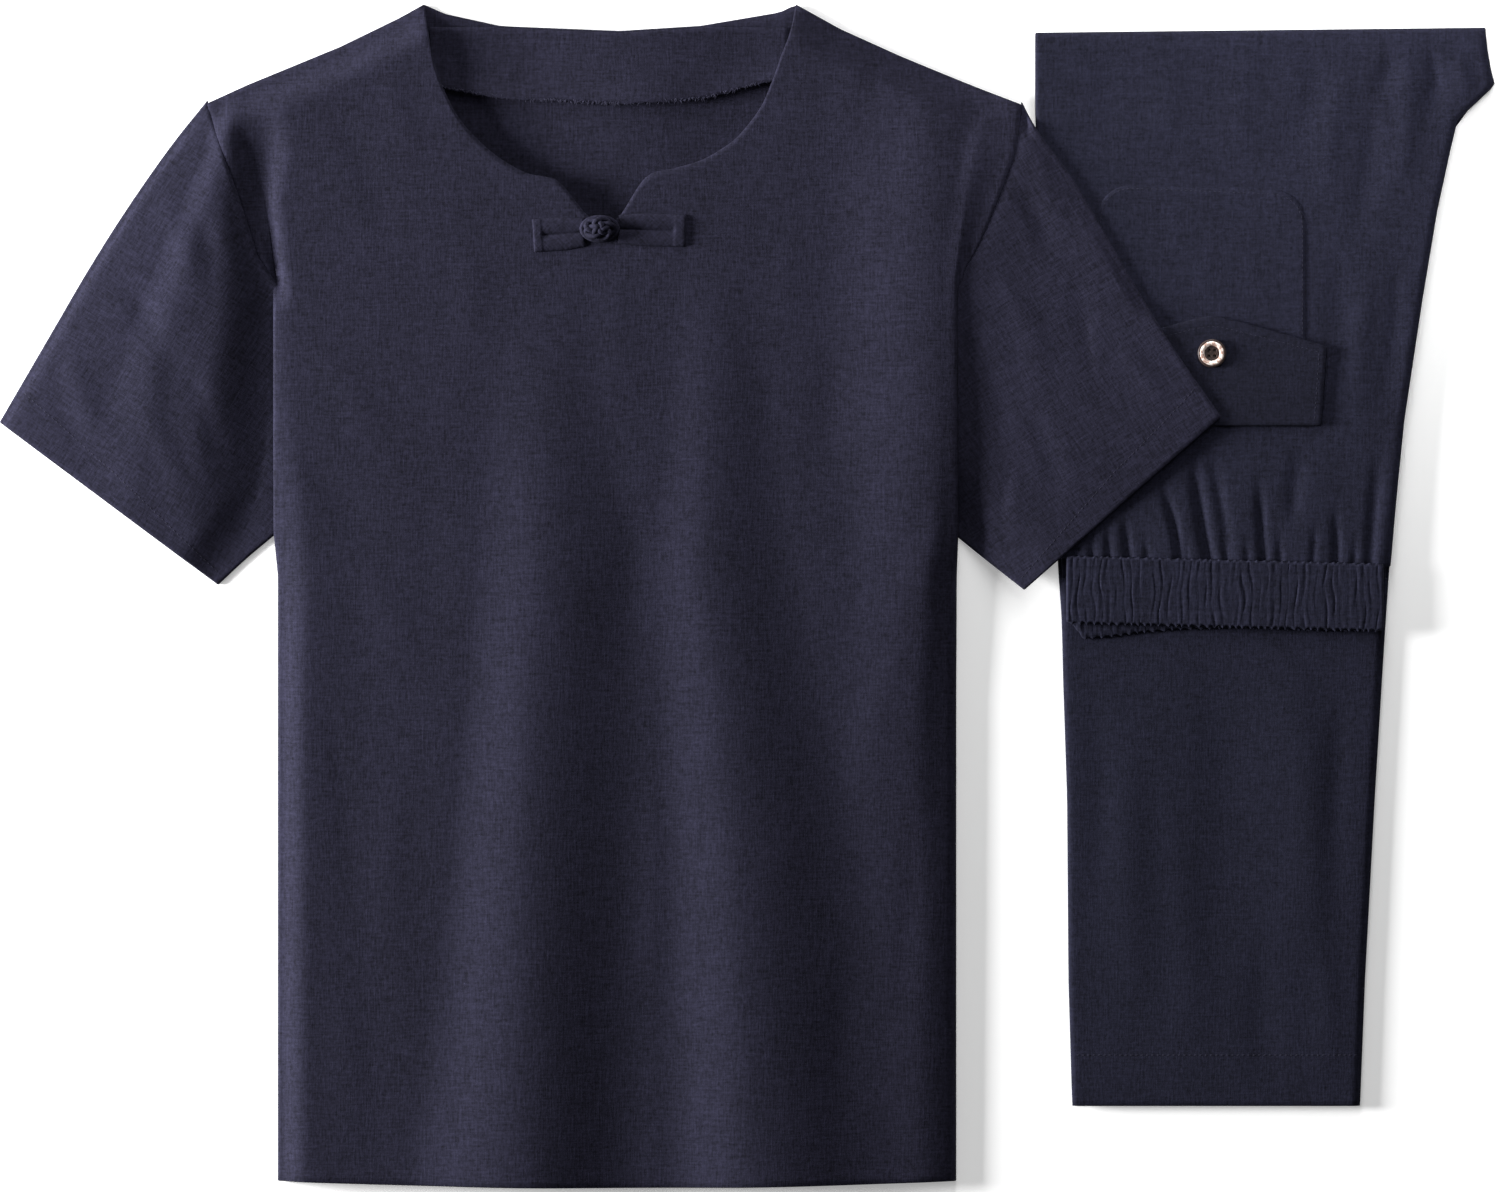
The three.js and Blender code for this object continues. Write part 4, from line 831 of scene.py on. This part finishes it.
def fray(seed=11, count=460):
    """Short loose threads along the facing's lower edge."""
    draw = random.Random(seed)
    parts = []
    for _ in range(count):
        x = draw.uniform(-190, 23)
        _, edge = facing_edges(x)
        lean, reach = draw.uniform(-1.3, 1.3), draw.uniform(0.7, 2.4)
        edge_z = back_height(x, edge) + HALF + GAP + FACING_CLOTH + FACING_CURL
        start = np.array([x, edge + draw.uniform(0.3, 1.8), edge_z])
        end = start + np.array([lean, -reach, draw.uniform(-0.8, 0.2)])
        middle = (start + end) / 2 + np.array([draw.uniform(-0.4, 0.4), 0, 0.2])
        parts.append(tube([start, middle, end], [0.13, 0.13, 0.06], 4))
    return joined(parts)


# The knot-and-loop fastening

def strap(start, end, width, tail_last):
    """A flat strap of two cords side by side, with its tail folded back square."""
    start, end = np.array(start, float), np.array(end, float)
    length = np.linalg.norm(end - start)
    ahead = (end - start) / length
    side = np.array([-ahead[1], ahead[0]])
    from_tail = np.concatenate([[0, 0.012, 0.035], np.linspace(0.07, 0.93, 60), [0.965, 0.988, 1]])
    rounded = np.sqrt(np.clip(1 - (1 - np.minimum(from_tail, 1 - from_tail) / 0.035).clip(0) ** 2, 0, 1))
    half_top = np.array([1, 0.97, 0.9, 0.8, 0.68, 0.55, 0.42, 0.3, 0.2, 0.12, 0.06])
    across = np.concatenate([half_top, [0], -half_top[::-1], [-0.6, 0, 0.6]])
    above = np.arange(len(across)) < 2 * len(half_top) + 1
    flat_top = np.sqrt(1 - np.abs(across) ** 8)
    two_cords = (1 - np.abs(2 * np.abs(across) - 1) ** 2.4) ** 0.6
    folded = 1 - soft(STRAP_FOLD - 0.02, STRAP_FOLD + 0.02, from_tail)[:, None]
    profile = lerp(0.2 * flat_top + 0.8 * two_cords, 1.12 * flat_top, folded) * above
    share = 1 - from_tail if tail_last else from_tail
    half_width = width / 2 * (0.97 + 0.03 * rounded) * (1 - 0.12 * soft(0.6, 1, from_tail))
    x = start[0] + ahead[0] * length * share[:, None] + side[0] * across * half_width[:, None]
    y = start[1] + ahead[1] * length * share[:, None] + side[1] * across * half_width[:, None]
    base = front_height(x, y) + HALF + 0.05
    z = base + STRAP_HEIGHT * profile * (0.55 + 0.45 * rounded[:, None])
    ring_count, size = x.shape
    return np.stack([x, y, z], axis=-1).reshape(-1, 3), ring_faces(ring_count, size)


def cord_round_knot(t, out, turns, radius, height):
    """A closed cord about the knot's middle: how far out it runs, its turns and its height."""
    base = front_height(*KNOT_CENTRE) + HALF
    x = KNOT_CENTRE[0] + (KNOT_HALF[0] - radius) * out * np.cos(turns * t)
    y = KNOT_CENTRE[1] + (KNOT_HALF[1] - radius) * out * np.sin(turns * t)
    return ring_cord(np.stack([x, y, base + height], axis=-1), radius)


def knot():
    """A ball of one cord that runs round three times, over and under itself."""
    t = np.linspace(0, 2 * np.pi, 420, endpoint=False)
    out = 0.57 + 0.41 * np.cos(KNOT_WAVES * t)
    dome = KNOT_CORD + 1 + 3.8 * np.sqrt(1 - out**2)
    return cord_round_knot(t, out, 3, KNOT_CORD, dome + 1.05 * np.sin(2 * KNOT_WAVES * t))


def loop():
    """The loop that holds the knot, half hidden beneath it."""
    t = np.linspace(0, 2 * np.pi, 90, endpoint=False)
    return cord_round_knot(t, np.full_like(t, 1.14), 1, LOOP_CORD, LOOP_CORD + 0.3 * np.sin(2 * t) + 0.3)


# The trousers

def fold_y(x):
    return FOLD_Y + FOLD_RISE * ((x - FOLD_START_X) / FOLD_LENGTH)


def waist_y(x):
    return WAIST_Y - WAIST_FALL * ((x - WAIST_START_X) / WAIST_LENGTH)


def leg_sides(y, inset=0.0):
    """Where the trousers' left and right sides are, moved in by the inset."""
    return between(TROUSER_SIDES, "y", y, "left") + inset, between(TROUSER_SIDES, "y", y, "right") - inset


def side_drop(left, right):
    """How far a layer has rounded down at a distance in from its left and right sides."""
    return 0.5 * (1 - np.clip(left / 3, 0, 1)) ** 2.4 + 2.3 * (1 - np.clip(right / 5, 0, 1)) ** 2.4


def panel_height(x, y):
    """Middle height of the upper panel of the trousers."""
    left, right = leg_sides(y)
    left, right = x - left, right - x
    relief = crease_field(GATHERS, x, y) + crease_field(PANEL_CREASES, x, y)
    puff = 0.9 * (1 - soft(0, 70, y - WAIST_Y)) * (0.75 + 0.25 * np.sin(x / 6.5))
    inside = soft(0, 9, np.minimum(left, right))
    return STACK + (relief + puff) * inside - side_drop(left, right)


def right_leg_grid(column_count=170):
    across = np.linspace(0, 1, column_count)
    across = across - 0.035 * np.sin(2 * np.pi * across) / (2 * np.pi)
    radius = (STACK - HALF) / 2
    centre_z = HALF + radius
    grids = []
    for y in np.linspace(WAIST_Y, PANEL_TOP_Y, 96):
        left, right = leg_sides(y, HALF)
        x = lerp(left, right, across)
        shifted = y + (waist_y(x) + GAP - WAIST_Y) * (1 - soft(WAIST_Y, 60, y))
        grids.append(np.stack([x, shifted, panel_height(x, y)], axis=-1))
    for degrees in np.linspace(0, 180, 12)[1:]:
        angle = math.radians(degrees)
        left, right = leg_sides(FOLD_SIDES_Y, HALF)
        x = lerp(left, right, across)
        shown = max(math.cos(angle), 0)
        rounded = (panel_height(x, FOLD_RELIEF_Y) - STACK) * shown
        y = fold_y(x) - HALF - radius + radius * math.sin(angle)
        grids.append(np.stack([x, y, centre_z + radius * math.cos(angle) + rounded], axis=-1))
    for y in np.linspace(UNDER_TOP_Y, TROUSER_HEM_Y, 60):
        left, right = leg_sides(y, HALF)
        x = lerp(left, right, across)
        grids.append(np.stack([x, np.full_like(x, y), np.full_like(x, HALF)], axis=-1))
    return np.array(grids)[::-1]


def leg_height(x, y):
    left, right = leg_sides(y)
    left, right = x - left, right - x
    shown = 1 - soft(-40, -22, y)
    relief = crease_field(LEG_CREASES, x, y) * shown * soft(0, 12, np.minimum(left, right))
    return LOWER_LEG + relief - side_drop(left, right)


def left_leg_grid(column_count=76, row_count=106):
    y = np.linspace(10, TROUSER_HEM_Y, row_count)[:, None]
    left, right = leg_sides(y, HALF)
    x = lerp(left, right, np.linspace(0, 1, column_count))
    y = np.broadcast_to(y, x.shape)
    return np.stack([x, y, leg_height(x, y)], axis=-1)


HIDDEN_HEIGHTS = rows(
    "y top",
    (331, 6.4), (326, 7), (231, 7), (105, 6.8), (70, 5.4), (40, 4.2), (24, 3.6), (-302, 3.6),
)


def hidden_layers_grid(layer_count=3, row_count=110, flat_count=12):
    """The hidden layers: one sheet, folded back and forth across the leg."""
    columns = []
    for layer in range(layer_count):
        run = np.linspace(0, 1, flat_count)
        level = (layer + 0.5) / layer_count
        columns += [(share if layer % 2 == 0 else 1 - share, level) for share in run]
        if layer < layer_count - 1:
            outwards = 1 if layer % 2 == 0 else 0
            bulge = 0.004 if outwards else -0.004
            middle = (layer + 1) / layer_count
            columns += [(outwards + bulge, middle - 0.1), (outwards + bulge * 1.4, middle)]
            columns += [(outwards + bulge, middle + 0.1)]
    share, level = np.array(columns).T
    y = np.linspace(HIDDEN_HEIGHTS["y"][0], HIDDEN_HEIGHTS["y"][-1], row_count)[:, None]
    left, right = leg_sides(y, HIDDEN_INSET)
    x = lerp(left, right, share)
    bottom = CLOTH + GAP
    height = lerp(bottom, between(HIDDEN_HEIGHTS, "y", y, "top"), level)
    return np.stack(np.broadcast_arrays(x, y, height), axis=-1)


def band_phase(x, left, right, count):
    """Phase of the elastic's wrinkles: even at crests, odd in valleys, unevenly spaced."""
    i = np.arange(2 * count + 1)
    uneven = np.where((i > 0) & (i < 2 * count), 0.3 * np.sin(i * 2.4) + 0.2 * np.sin(i * 0.9 + 1), 0)
    places = np.clip((i + uneven) / (2 * count), 0, 1)
    return np.interp((x - left) / (right - left), places, i)


def band_grid(left, right, count, edges, middle, amount, column_count, row_count):
    x = np.linspace(left, right, column_count)
    share = np.linspace(0, 1, row_count)[:, None]
    wander = 0.9 * np.sin(share * 4 + x / 11) + 0.6 * np.sin(share * 8.5 + x / 4.3)
    phase = band_phase(x + wander, left, right, count)
    depth = np.clip(0.6 + 0.4 * np.sin(phase * 0.83) + 0.36 * np.sin(phase * 2.57 + 1), 0.1, 1.2)
    broken = 0.6 + 0.5 * np.sin(share * 7 + phase * 1.3) + 0.3 * np.sin(share * 14 + phase * 2.9)
    depth = depth * np.clip(broken, 0.15, 1.2)
    crest = 0.4 - 1.4 * np.abs(np.sin(np.pi * (phase + 1) / 2 + np.pi / 2)) ** 4
    sewn = sum(np.exp(-(((share - row) / 0.035) ** 2)) for row in BAND_SEAMS)
    height = middle + amount * (depth * crest * (1 - 0.4 * sewn) - 0.5 * sewn)
    low_y, high_y = edges(x)
    scallop = 0.9 * crest * soft(0.8, 1, share) - 0.5 * crest * (1 - soft(0, 0.2, share))
    y = lerp(high_y, low_y, share) + scallop
    return np.stack(np.broadcast_arrays(x, y, height), axis=-1)


def back_band_edges(x):
    return waist_y(x) - BAND_WIDTH, waist_y(x) + 0.2


def front_band_edges(x):
    return between(FRONT_BAND_EDGE, "x", x, "y"), waist_y(x) - 6


# The pocket, its flap and its button

def pocket_grid():
    share = np.linspace(0, 1, 46)
    x = lerp(POCKET_X[0], POCKET_X[1], share)
    from_side = np.minimum(x - POCKET_X[0], POCKET_X[1] - x)
    corner = POCKET_CORNER - np.sqrt(
        np.maximum(POCKET_CORNER**2 - np.maximum(POCKET_CORNER - from_side, 0) ** 2, 0)
    )
    top = POCKET_Y[1] - POCKET_SLANT * share - corner
    up = np.linspace(1, 0, 46)[:, None]
    y = lerp(POCKET_Y[0], top, up)
    height = panel_height(x, y) + HALF + PATCH_CLOTH / 2 - PATCH_SINK
    return np.stack(np.broadcast_arrays(x, y, height), axis=-1)


def flap_height(x, y):
    bow = 0.5 * np.sin((x - FLAP_CENTRE_X) / 31) + 0.4 * np.sin((y - FLAP_Y) / 17)
    return FLAP_MIDDLE + 0.3 * bow


def flap_outline(across, up):
    slant = np.hypot(across, 0.08)
    length = lerp(FLAP_POINT, FLAP_SIDE, slant)
    half = lerp(FLAP_HALF - 3.3, FLAP_HALF, up * length / FLAP_SIDE)
    half = np.minimum(half, FLAP_HALF + 1.2)
    return FLAP_CENTRE_X + across * half, FLAP_Y + length * up


def flap_grid():
    across = np.linspace(-1, 1, 60)
    up = np.linspace(1, 0, 30)[:, None]
    x, y = flap_outline(across, up)
    return np.stack([x, y, flap_height(x, y)], axis=-1)


def flap_stitch_line(inset):
    """A line along the flap's free edges, a little way in from them."""
    share = inset / FLAP_HALF
    rise = inset / FLAP_SIDE
    left = [flap_outline(-1 + share, up) for up in np.linspace(0.02, 1 - rise, 12)]
    top = [flap_outline(across, 1 - rise) for across in np.linspace(-1 + share, 1 - share, 40)]
    right = [flap_outline(1 - share, up) for up in np.linspace(1 - rise, 0.02, 12)]
    line = np.array(left + top[1:-1] + right)
    return np.column_stack([line, flap_height(line[:, 0], line[:, 1]) + FLAP_CLOTH / 2])


BUTTON_BASE = FLAP_MIDDLE + FLAP_CLOTH / 2 + 0.35


def turned_ring(profile, steps=64):
    """A solid of revolution about the button's axis from a closed profile of (out, up)."""
    profile = np.asarray(profile, float)
    turns = np.arange(steps) * 2 * np.pi / steps
    x = BUTTON_X + profile[None, :, 0] * np.cos(turns)[:, None]
    y = BUTTON_Y + profile[None, :, 0] * np.sin(turns)[:, None]
    z = np.broadcast_to(BUTTON_BASE + profile[:, 1], x.shape)
    return np.stack([x, y, z], axis=-1).reshape(-1, 3), ring_faces(steps, len(profile), closed=True)


def button_plate():
    """The button's sunk middle, with four round holes, as a disc with thickness."""
    grid = np.linspace(-PLATE_RADIUS, PLATE_RADIUS, 64)
    cells_x, cells_y = np.meshgrid(grid, grid)
    holes = [(HOLE_OUT * sx, HOLE_OUT * sy) for sx in (-1, 1) for sy in (-1, 1)]
    inside = np.hypot(cells_x, cells_y) <= PLATE_RADIUS
    depth = np.full(cells_x.shape, PLATE_HEIGHT)
    for hole_x, hole_y in holes:
        distance = np.hypot(cells_x - hole_x, cells_y - hole_y)
        past_rim = soft(HOLE_RADIUS - 0.2, HOLE_RADIUS + 0.2, distance)
        depth = np.minimum(depth, lerp(HOLE_FLOOR, PLATE_HEIGHT, past_rim))
    depth += 0.25 * (np.hypot(cells_x, cells_y) / PLATE_RADIUS) ** 2
    index = -np.ones(cells_x.shape, int)
    index[inside] = np.arange(inside.sum())
    count = int(inside.sum())
    top = np.column_stack([cells_x[inside], cells_y[inside], depth[inside]])
    points = np.vstack([top, np.column_stack([top[:, :2], np.full(count, 0.05)])])
    points += [BUTTON_X, BUTTON_Y, BUTTON_BASE]
    faces, uses = [], {}
    for r in range(len(grid) - 1):
        for c in range(len(grid) - 1):
            corners = [index[r, c], index[r, c + 1], index[r + 1, c + 1], index[r + 1, c]]
            if min(corners) < 0:
                continue
            faces.append(tuple(corners))
            faces.append(tuple(i + count for i in reversed(corners)))
            for a, b in zip(corners, corners[1:] + corners[:1]):
                uses[(a, b)] = True
    for a, b in uses:
        if (b, a) not in uses:
            faces.append((b, a, a + count, b + count))
    used = sorted({i for face in faces for i in face})
    place = {old: new for new, old in enumerate(used)}
    return points[used], [tuple(place[i] for i in face) for face in faces]


# Finishes

class Tone:
    """A shader socket that takes part in sums, so an expression adds its Math nodes."""

    def __init__(self, finish, socket):
        self.finish = finish
        self.socket = socket

    def _math(self, operation, *values):
        return self.finish.node("ShaderNodeMath", {"operation": operation}, values)

    def __add__(self, other):
        return self._math("ADD", self, other)

    def __mul__(self, other):
        return self._math("MULTIPLY", self, other)

    def __sub__(self, other):
        return self._math("SUBTRACT", self, other)

    def soft(self, low, high):
        inputs = {"Value": self, "From Min": low, "From Max": high}
        return self.finish.node("ShaderNodeMapRange", {"interpolation_type": "SMOOTHSTEP"}, inputs)


class Finish:
    """A material under construction."""

    def __init__(self, name, **constants):
        self.material = bpy.data.materials.new(name)
        self.material.use_nodes = True
        self.tree = self.material.node_tree
        self.shader = self.tree.nodes["Principled BSDF"]
        for socket, value in constants.items():
            self.shader.inputs[socket.replace("_", " ")].default_value = value

    def node(self, kind, settings=None, inputs=(), output=0):
        made = self.tree.nodes.new(kind)
        for key, value in (settings or {}).items():
            setattr(made, key, value)
        named = inputs.items() if isinstance(inputs, dict) else enumerate(inputs)
        for key, value in named:
            if isinstance(value, Tone):
                self.tree.links.new(value.socket, made.inputs[key])
            else:
                made.inputs[key].default_value = value
        return Tone(self, made.outputs[output])

    def colour(self, low, high, share):
        """A colour between two, by a share."""
        inputs = {"Factor": share, 6: (*low, 1), 7: (*high, 1)}
        return self.node("ShaderNodeMix", {"data_type": "RGBA"}, inputs, output=2)

    def noise(self, vector, scale, detail=2.0, roughness=0.5):
        inputs = {"Vector": vector, "Scale": scale, "Detail": detail, "Roughness": roughness}
        return self.node("ShaderNodeTexNoise", None, inputs)

    def place(self, turn=0.0, stretch=(1, 1, 1)):
        """Object coordinates in metres, turned about Z and then stretched."""
        where = self.node("ShaderNodeTexCoord", output="Object")
        turned = self.node("ShaderNodeMapping", None, {"Vector": where, "Rotation": (0, 0, turn)})
        return self.node("ShaderNodeMapping", None, {"Vector": turned, "Scale": stretch})

    def feed(self, **links):
        for socket, value in links.items():
            self.tree.links.new(value.socket, self.shader.inputs[socket.replace("_", " ")])
        return self.material


# Linen navy, as it is where the cloth lies flat
TOP_NAVY = np.array([0.0134, 0.0129, 0.0252])
TROUSER_NAVY = np.array([0.0112, 0.0115, 0.0228])


def linen(name, navy, turn=0.0, strength=1.0):
    """Plain-woven linen: slub threads both ways, mottled dye, and a fine woven relief."""
    finish = Finish(name, Roughness=0.9, Sheen_Weight=0.0, Specular_IOR_Level=0.1)
    warp = finish.noise(finish.place(turn, (1, 0.12, 0.2)), 900, 2, 0.6)
    weft = finish.noise(finish.place(turn, (0.1, 1, 0.2)), 900, 2, 0.6)
    slub_down = finish.noise(finish.place(turn, (1, 0.05, 0.2)), 520, 1).soft(0.58, 0.74)
    slub_across = finish.noise(finish.place(turn, (0.05, 1, 0.2)), 520, 1).soft(0.58, 0.74)
    mottle = finish.noise(finish.place(turn), 520, 3, 0.7)
    cloudy = finish.noise(finish.place(turn, (1, 0.4, 1)), 45, 2)
    threads = (warp + weft - 1) * (0.95 * strength)
    slubs = (slub_down + slub_across - 0.3) * (0.1 * strength)
    tone = threads + slubs + (mottle - 0.5) * 1.5 + (cloudy - 0.5) * 0.3 + 0.5
    base = finish.colour(tuple(navy * 0.4), tuple(navy * 1.6), tone)
    weave = finish.node(
        "ShaderNodeBump",
        None,
        {"Strength": 0.6, "Distance": 0.0002, "Height": warp + weft + mottle + slubs},
        output="Normal",
    )
    return finish.feed(Base_Color=base, Normal=weave)


def thread_finish(name, navy):
    """Sewing thread: a touch smoother and lighter than the linen, with a fine twist."""
    finish = Finish(name, Roughness=0.7, Specular_IOR_Level=0.2)
    twist = finish.noise(finish.place(0.7, (1, 0.2, 1)), 2600, 1)
    return finish.feed(Base_Color=finish.colour(tuple(navy * 0.7), tuple(navy * 1.5), twist))


def horn_finish(name):
    """Dark streaked horn, a little worn."""
    finish = Finish(name, Roughness=0.5, Specular_IOR_Level=0.3)
    streak = finish.noise(finish.place(0.5, (1, 0.25, 1)), 620, 3)
    return finish.feed(Base_Color=finish.colour((0.006, 0.005, 0.007), (0.045, 0.024, 0.018), streak))


def copper_finish(name):
    """The button's coppery ring, pale in patches."""
    finish = Finish(name, Metallic=0.35, Roughness=0.36)
    pale_patches = finish.noise(finish.place(0, (1, 1, 1)), 480, 3).soft(0.42, 0.62)
    base = finish.colour((0.42, 0.27, 0.22), (0.86, 0.76, 0.7), pale_patches)
    return finish.feed(Base_Color=base)


SLEEVE_TURN = math.radians(32)
top_linen = linen("linen_top", TOP_NAVY)
left_sleeve_linen = linen("linen_sleeve_left", TOP_NAVY, SLEEVE_TURN)
right_sleeve_linen = linen("linen_sleeve_right", TOP_NAVY, -SLEEVE_TURN)
trouser_linen = linen("linen_trousers", TROUSER_NAVY, strength=0.8)
# The flap's linen is the trousers' linen darkened to 0.76: painted shade, so the flap reads darker than the
# panel it lies on.
flap_linen_shaded = linen("linen_flap_shaded", TROUSER_NAVY * 0.76, strength=0.8)
cord_linen = linen("linen_cord", TOP_NAVY * 0.98, math.radians(45))
thread = thread_finish("thread", TOP_NAVY)
fray_thread = thread_finish("fray", TOP_NAVY * 1.7)


# Sewing on the pieces

def sleeve_hem_stitches(sleeve):
    outer = points_of(sleeve["outer"])
    length = np.linalg.norm(outer[-1] - outer[0])
    along = np.full(90, 1 - SLEEVE_HEM / length)
    line = sleeve_surface(sleeve, along, np.linspace(0.01, 0.99, 90), np.ones(90))
    line[:, 2] += SLEEVE_CLOTH / 2
    return stitches(line, *SLEEVE_STITCH)


def pocket_stitch_line(inset):
    """A line along the pocket's sides and top, a little way in from them."""
    left, right = POCKET_X[0] + inset, POCKET_X[1] - inset
    bottom, top = POCKET_Y[0], POCKET_Y[1] - inset
    radius = POCKET_CORNER - inset
    turns = np.linspace(0, np.pi / 2, 8)
    first = [(left + radius - radius * np.cos(t), top - radius + radius * np.sin(t)) for t in turns]
    low_top = top - POCKET_SLANT - radius
    last = [(right - radius + radius * np.sin(t), low_top + radius * np.cos(t)) for t in turns]
    line = spaced_line(np.array([(left, bottom), *first, *last, (right, bottom)]), 2)
    height = panel_height(line[:, 0], line[:, 1]) + HALF + PATCH_CLOTH - PATCH_SINK
    return np.column_stack([line, height])


def trouser_hem_line():
    x = np.linspace(195, 366, 60)
    y = np.full_like(x, TROUSER_HEM_Y + TROUSER_HEM_TURN)
    return np.column_stack([x, y, leg_height(x, y) + HALF])


# The top, piece by piece

shirt_front = cloth("shirt_front", front_grid(), CLOTH, top_linen)
shirt_back = cloth("shirt_back", back_grid(), CLOTH, top_linen)
turned_left, turned_right = (
    cloth("side_fold_" + name, turned_side_grid(side, sign), CLOTH, top_linen)
    for name, side, sign in (("left", LEFT_SIDE, -1), ("right", RIGHT_SIDE, 1))
)
sleeve_left, sleeve_right = (
    cloth("sleeve_" + name, sleeve_grid(sleeve), SLEEVE_CLOTH, sleeve_linen, wrap=True)
    for name, sleeve, sleeve_linen in (
        ("left", LEFT_SLEEVE, left_sleeve_linen), ("right", RIGHT_SLEEVE, right_sleeve_linen),
    )
)
facing = cloth("back_neck_facing", facing_grid(), FACING_CLOTH, top_linen)
facing_fray = mesh_piece("facing_fray", fray(), fray_thread)

strap_and_loop = joined([strap(**LOOP_STRAP), loop()])
mesh_piece("frog_loop_strap", strap_and_loop, cord_linen, "frog_loop")
mesh_piece("frog_knob_strap", strap(**KNOB_STRAP), cord_linen, "frog_knob")
mesh_piece("frog_knot_cord", knot(), cord_linen, "frog_knot")
mesh_piece("sleeve_hem_stitches_left", sleeve_hem_stitches(LEFT_SLEEVE), thread)
mesh_piece("sleeve_hem_stitches_right", sleeve_hem_stitches(RIGHT_SLEEVE), thread)

# The trousers, piece by piece

right_leg = cloth("right_leg_back", right_leg_grid(), CLOTH, trouser_linen)
left_leg = cloth("left_leg_back", left_leg_grid(), CLOTH, trouser_linen)
hidden = cloth("folded_layers", hidden_layers_grid(), HIDDEN_CLOTH, trouser_linen)

back_band_middle = LOWER_LEG + BACK_BAND_RISE
back_gathers = band_grid(*BACK_BAND_X, BAND_WRINKLES, back_band_edges, back_band_middle, 0.36, 470, 36)
back_band = cloth("waistband_back", back_gathers, BAND_CLOTH, trouser_linen)
front_band_middle = LOWER_LEG + HALF + GAP + 1
front_gathers = band_grid(
    *FRONT_BAND_X, FRONT_BAND_WRINKLES, front_band_edges, front_band_middle, 0.35, 400, 12)
front_band = cloth("waistband_front", front_gathers, FRONT_BAND_CLOTH, trouser_linen)

pocket = cloth("pocket_patch", pocket_grid(), PATCH_CLOTH, trouser_linen)
flap = cloth("pocket_flap", flap_grid(), FLAP_CLOTH, flap_linen_shaded)
for name, line, stitch in (
    ("flap_stitches", flap_stitch_line(FLAP_STITCH_INSET), FLAP_STITCH),
    ("pocket_stitches", pocket_stitch_line(POCKET_STITCH_INSET), POCKET_STITCH),
    ("trouser_hem_stitches", trouser_hem_line(), TROUSER_STITCH),
):
    mesh_piece(name, stitches(line, *stitch), thread)

button_rim = turned_ring([(7.1, 0), (7.9, 0.1), (8.5, 0.9), (8.5, 1.6), (8.2, 2.1), (7.6, 2.35), (7.1, 2.3)])
button_ring = turned_ring(
    [(4.5, 0.05), (7.2, 0.05), (7.2, 2.35), (6.9, 2.55), (6.1, 2.65), (5.1, 2.4), (4.5, 1.8)])
mesh_piece("button_rim", button_rim, horn_finish("horn"), "pocket_button")
mesh_piece("button_ring", button_ring, copper_finish("copper"))
mesh_piece("button_middle", button_plate(), horn_finish("horn_middle"))


# Floor, lights and camera

def floor():
    mesh = bpy.data.meshes.new("floor")
    half = 4
    corners = [(x, y, -0.0002) for x, y in ((-half, -half), (half, -half), (half, half), (-half, half))]
    mesh.from_pydata(corners, [], [(0, 1, 2, 3)])
    plane = bpy.data.objects.new("floor", mesh)
    bpy.context.scene.collection.objects.link(plane)
    lit = dict(Emission_Color=(1, 1, 1, 1), Emission_Strength=0.3)
    paper = Finish("paper", Roughness=0.95, Specular_IOR_Level=0.1, **lit)
    grain = paper.noise(paper.place(), 60, 2)
    paper.feed(Base_Color=paper.colour((0.9, 0.9, 0.9), (0.93, 0.93, 0.93), grain))
    mesh.materials.append(paper.material)


def soft_light(name, place, target, size, power, spread=math.pi):
    data = bpy.data.lights.new(name, "AREA")
    data.shape = "RECTANGLE"
    data.size, data.size_y = size
    data.energy = power
    data.spread = spread
    light = bpy.data.objects.new(name, data)
    light.visible_camera = False
    bpy.context.scene.collection.objects.link(light)
    light.location = place
    direction = np.array(place) - np.array(target)
    yaw = math.atan2(direction[1], direction[0])
    pitch = math.atan2(math.hypot(direction[0], direction[1]), direction[2])
    light.rotation_euler = (0, pitch, yaw)
    return light


def world(colour, strength):
    made = bpy.data.worlds.new("studio")
    made.use_nodes = True
    background = made.node_tree.nodes["Background"]
    background.inputs["Color"].default_value = (*colour, 1)
    background.inputs["Strength"].default_value = strength
    bpy.context.scene.world = made


floor()
world((1, 1, 1), 0.12)
soft_light("key", (-4, 0.3, 0.92), (0, 0, 0), (1.2, 1.2), 680)
soft_light("side", (-0.78, 0.2, 0.17), (-0.38, 0.15, 0), (0.15, 0.6), 2.9)
soft_light("top", (0.1, 1.15, 0.45), (0.15, 0.3, 0), (1.4, 0.3), 6)
soft_light("far_top", (0.1, 3.2, 0.95), (0.1, 0, 0), (1.4, 0.5), 55)
soft_light("over_trousers", (0.4, 0.41, 0.45), (0.38, 0.34, 0), (0.3, 0.2), 0.38, spread=math.radians(80))

CAMERA_HEIGHT = 6.0
SENSOR = 36
camera_data = bpy.data.cameras.new("camera")
camera_data.sensor_width = SENSOR
camera_data.lens = SENSOR * CAMERA_HEIGHT / (PHOTO_SIZE[0] * MM_PER_PIXEL * MM)
camera_data.clip_end = 50
camera = bpy.data.objects.new("camera", camera_data)
bpy.context.scene.collection.objects.link(camera)
camera.location = (VIEW_MIDDLE[0] * MM, VIEW_MIDDLE[1] * MM, CAMERA_HEIGHT)
bpy.context.scene.camera = camera
bpy.context.scene.view_settings.view_transform = "Standard"
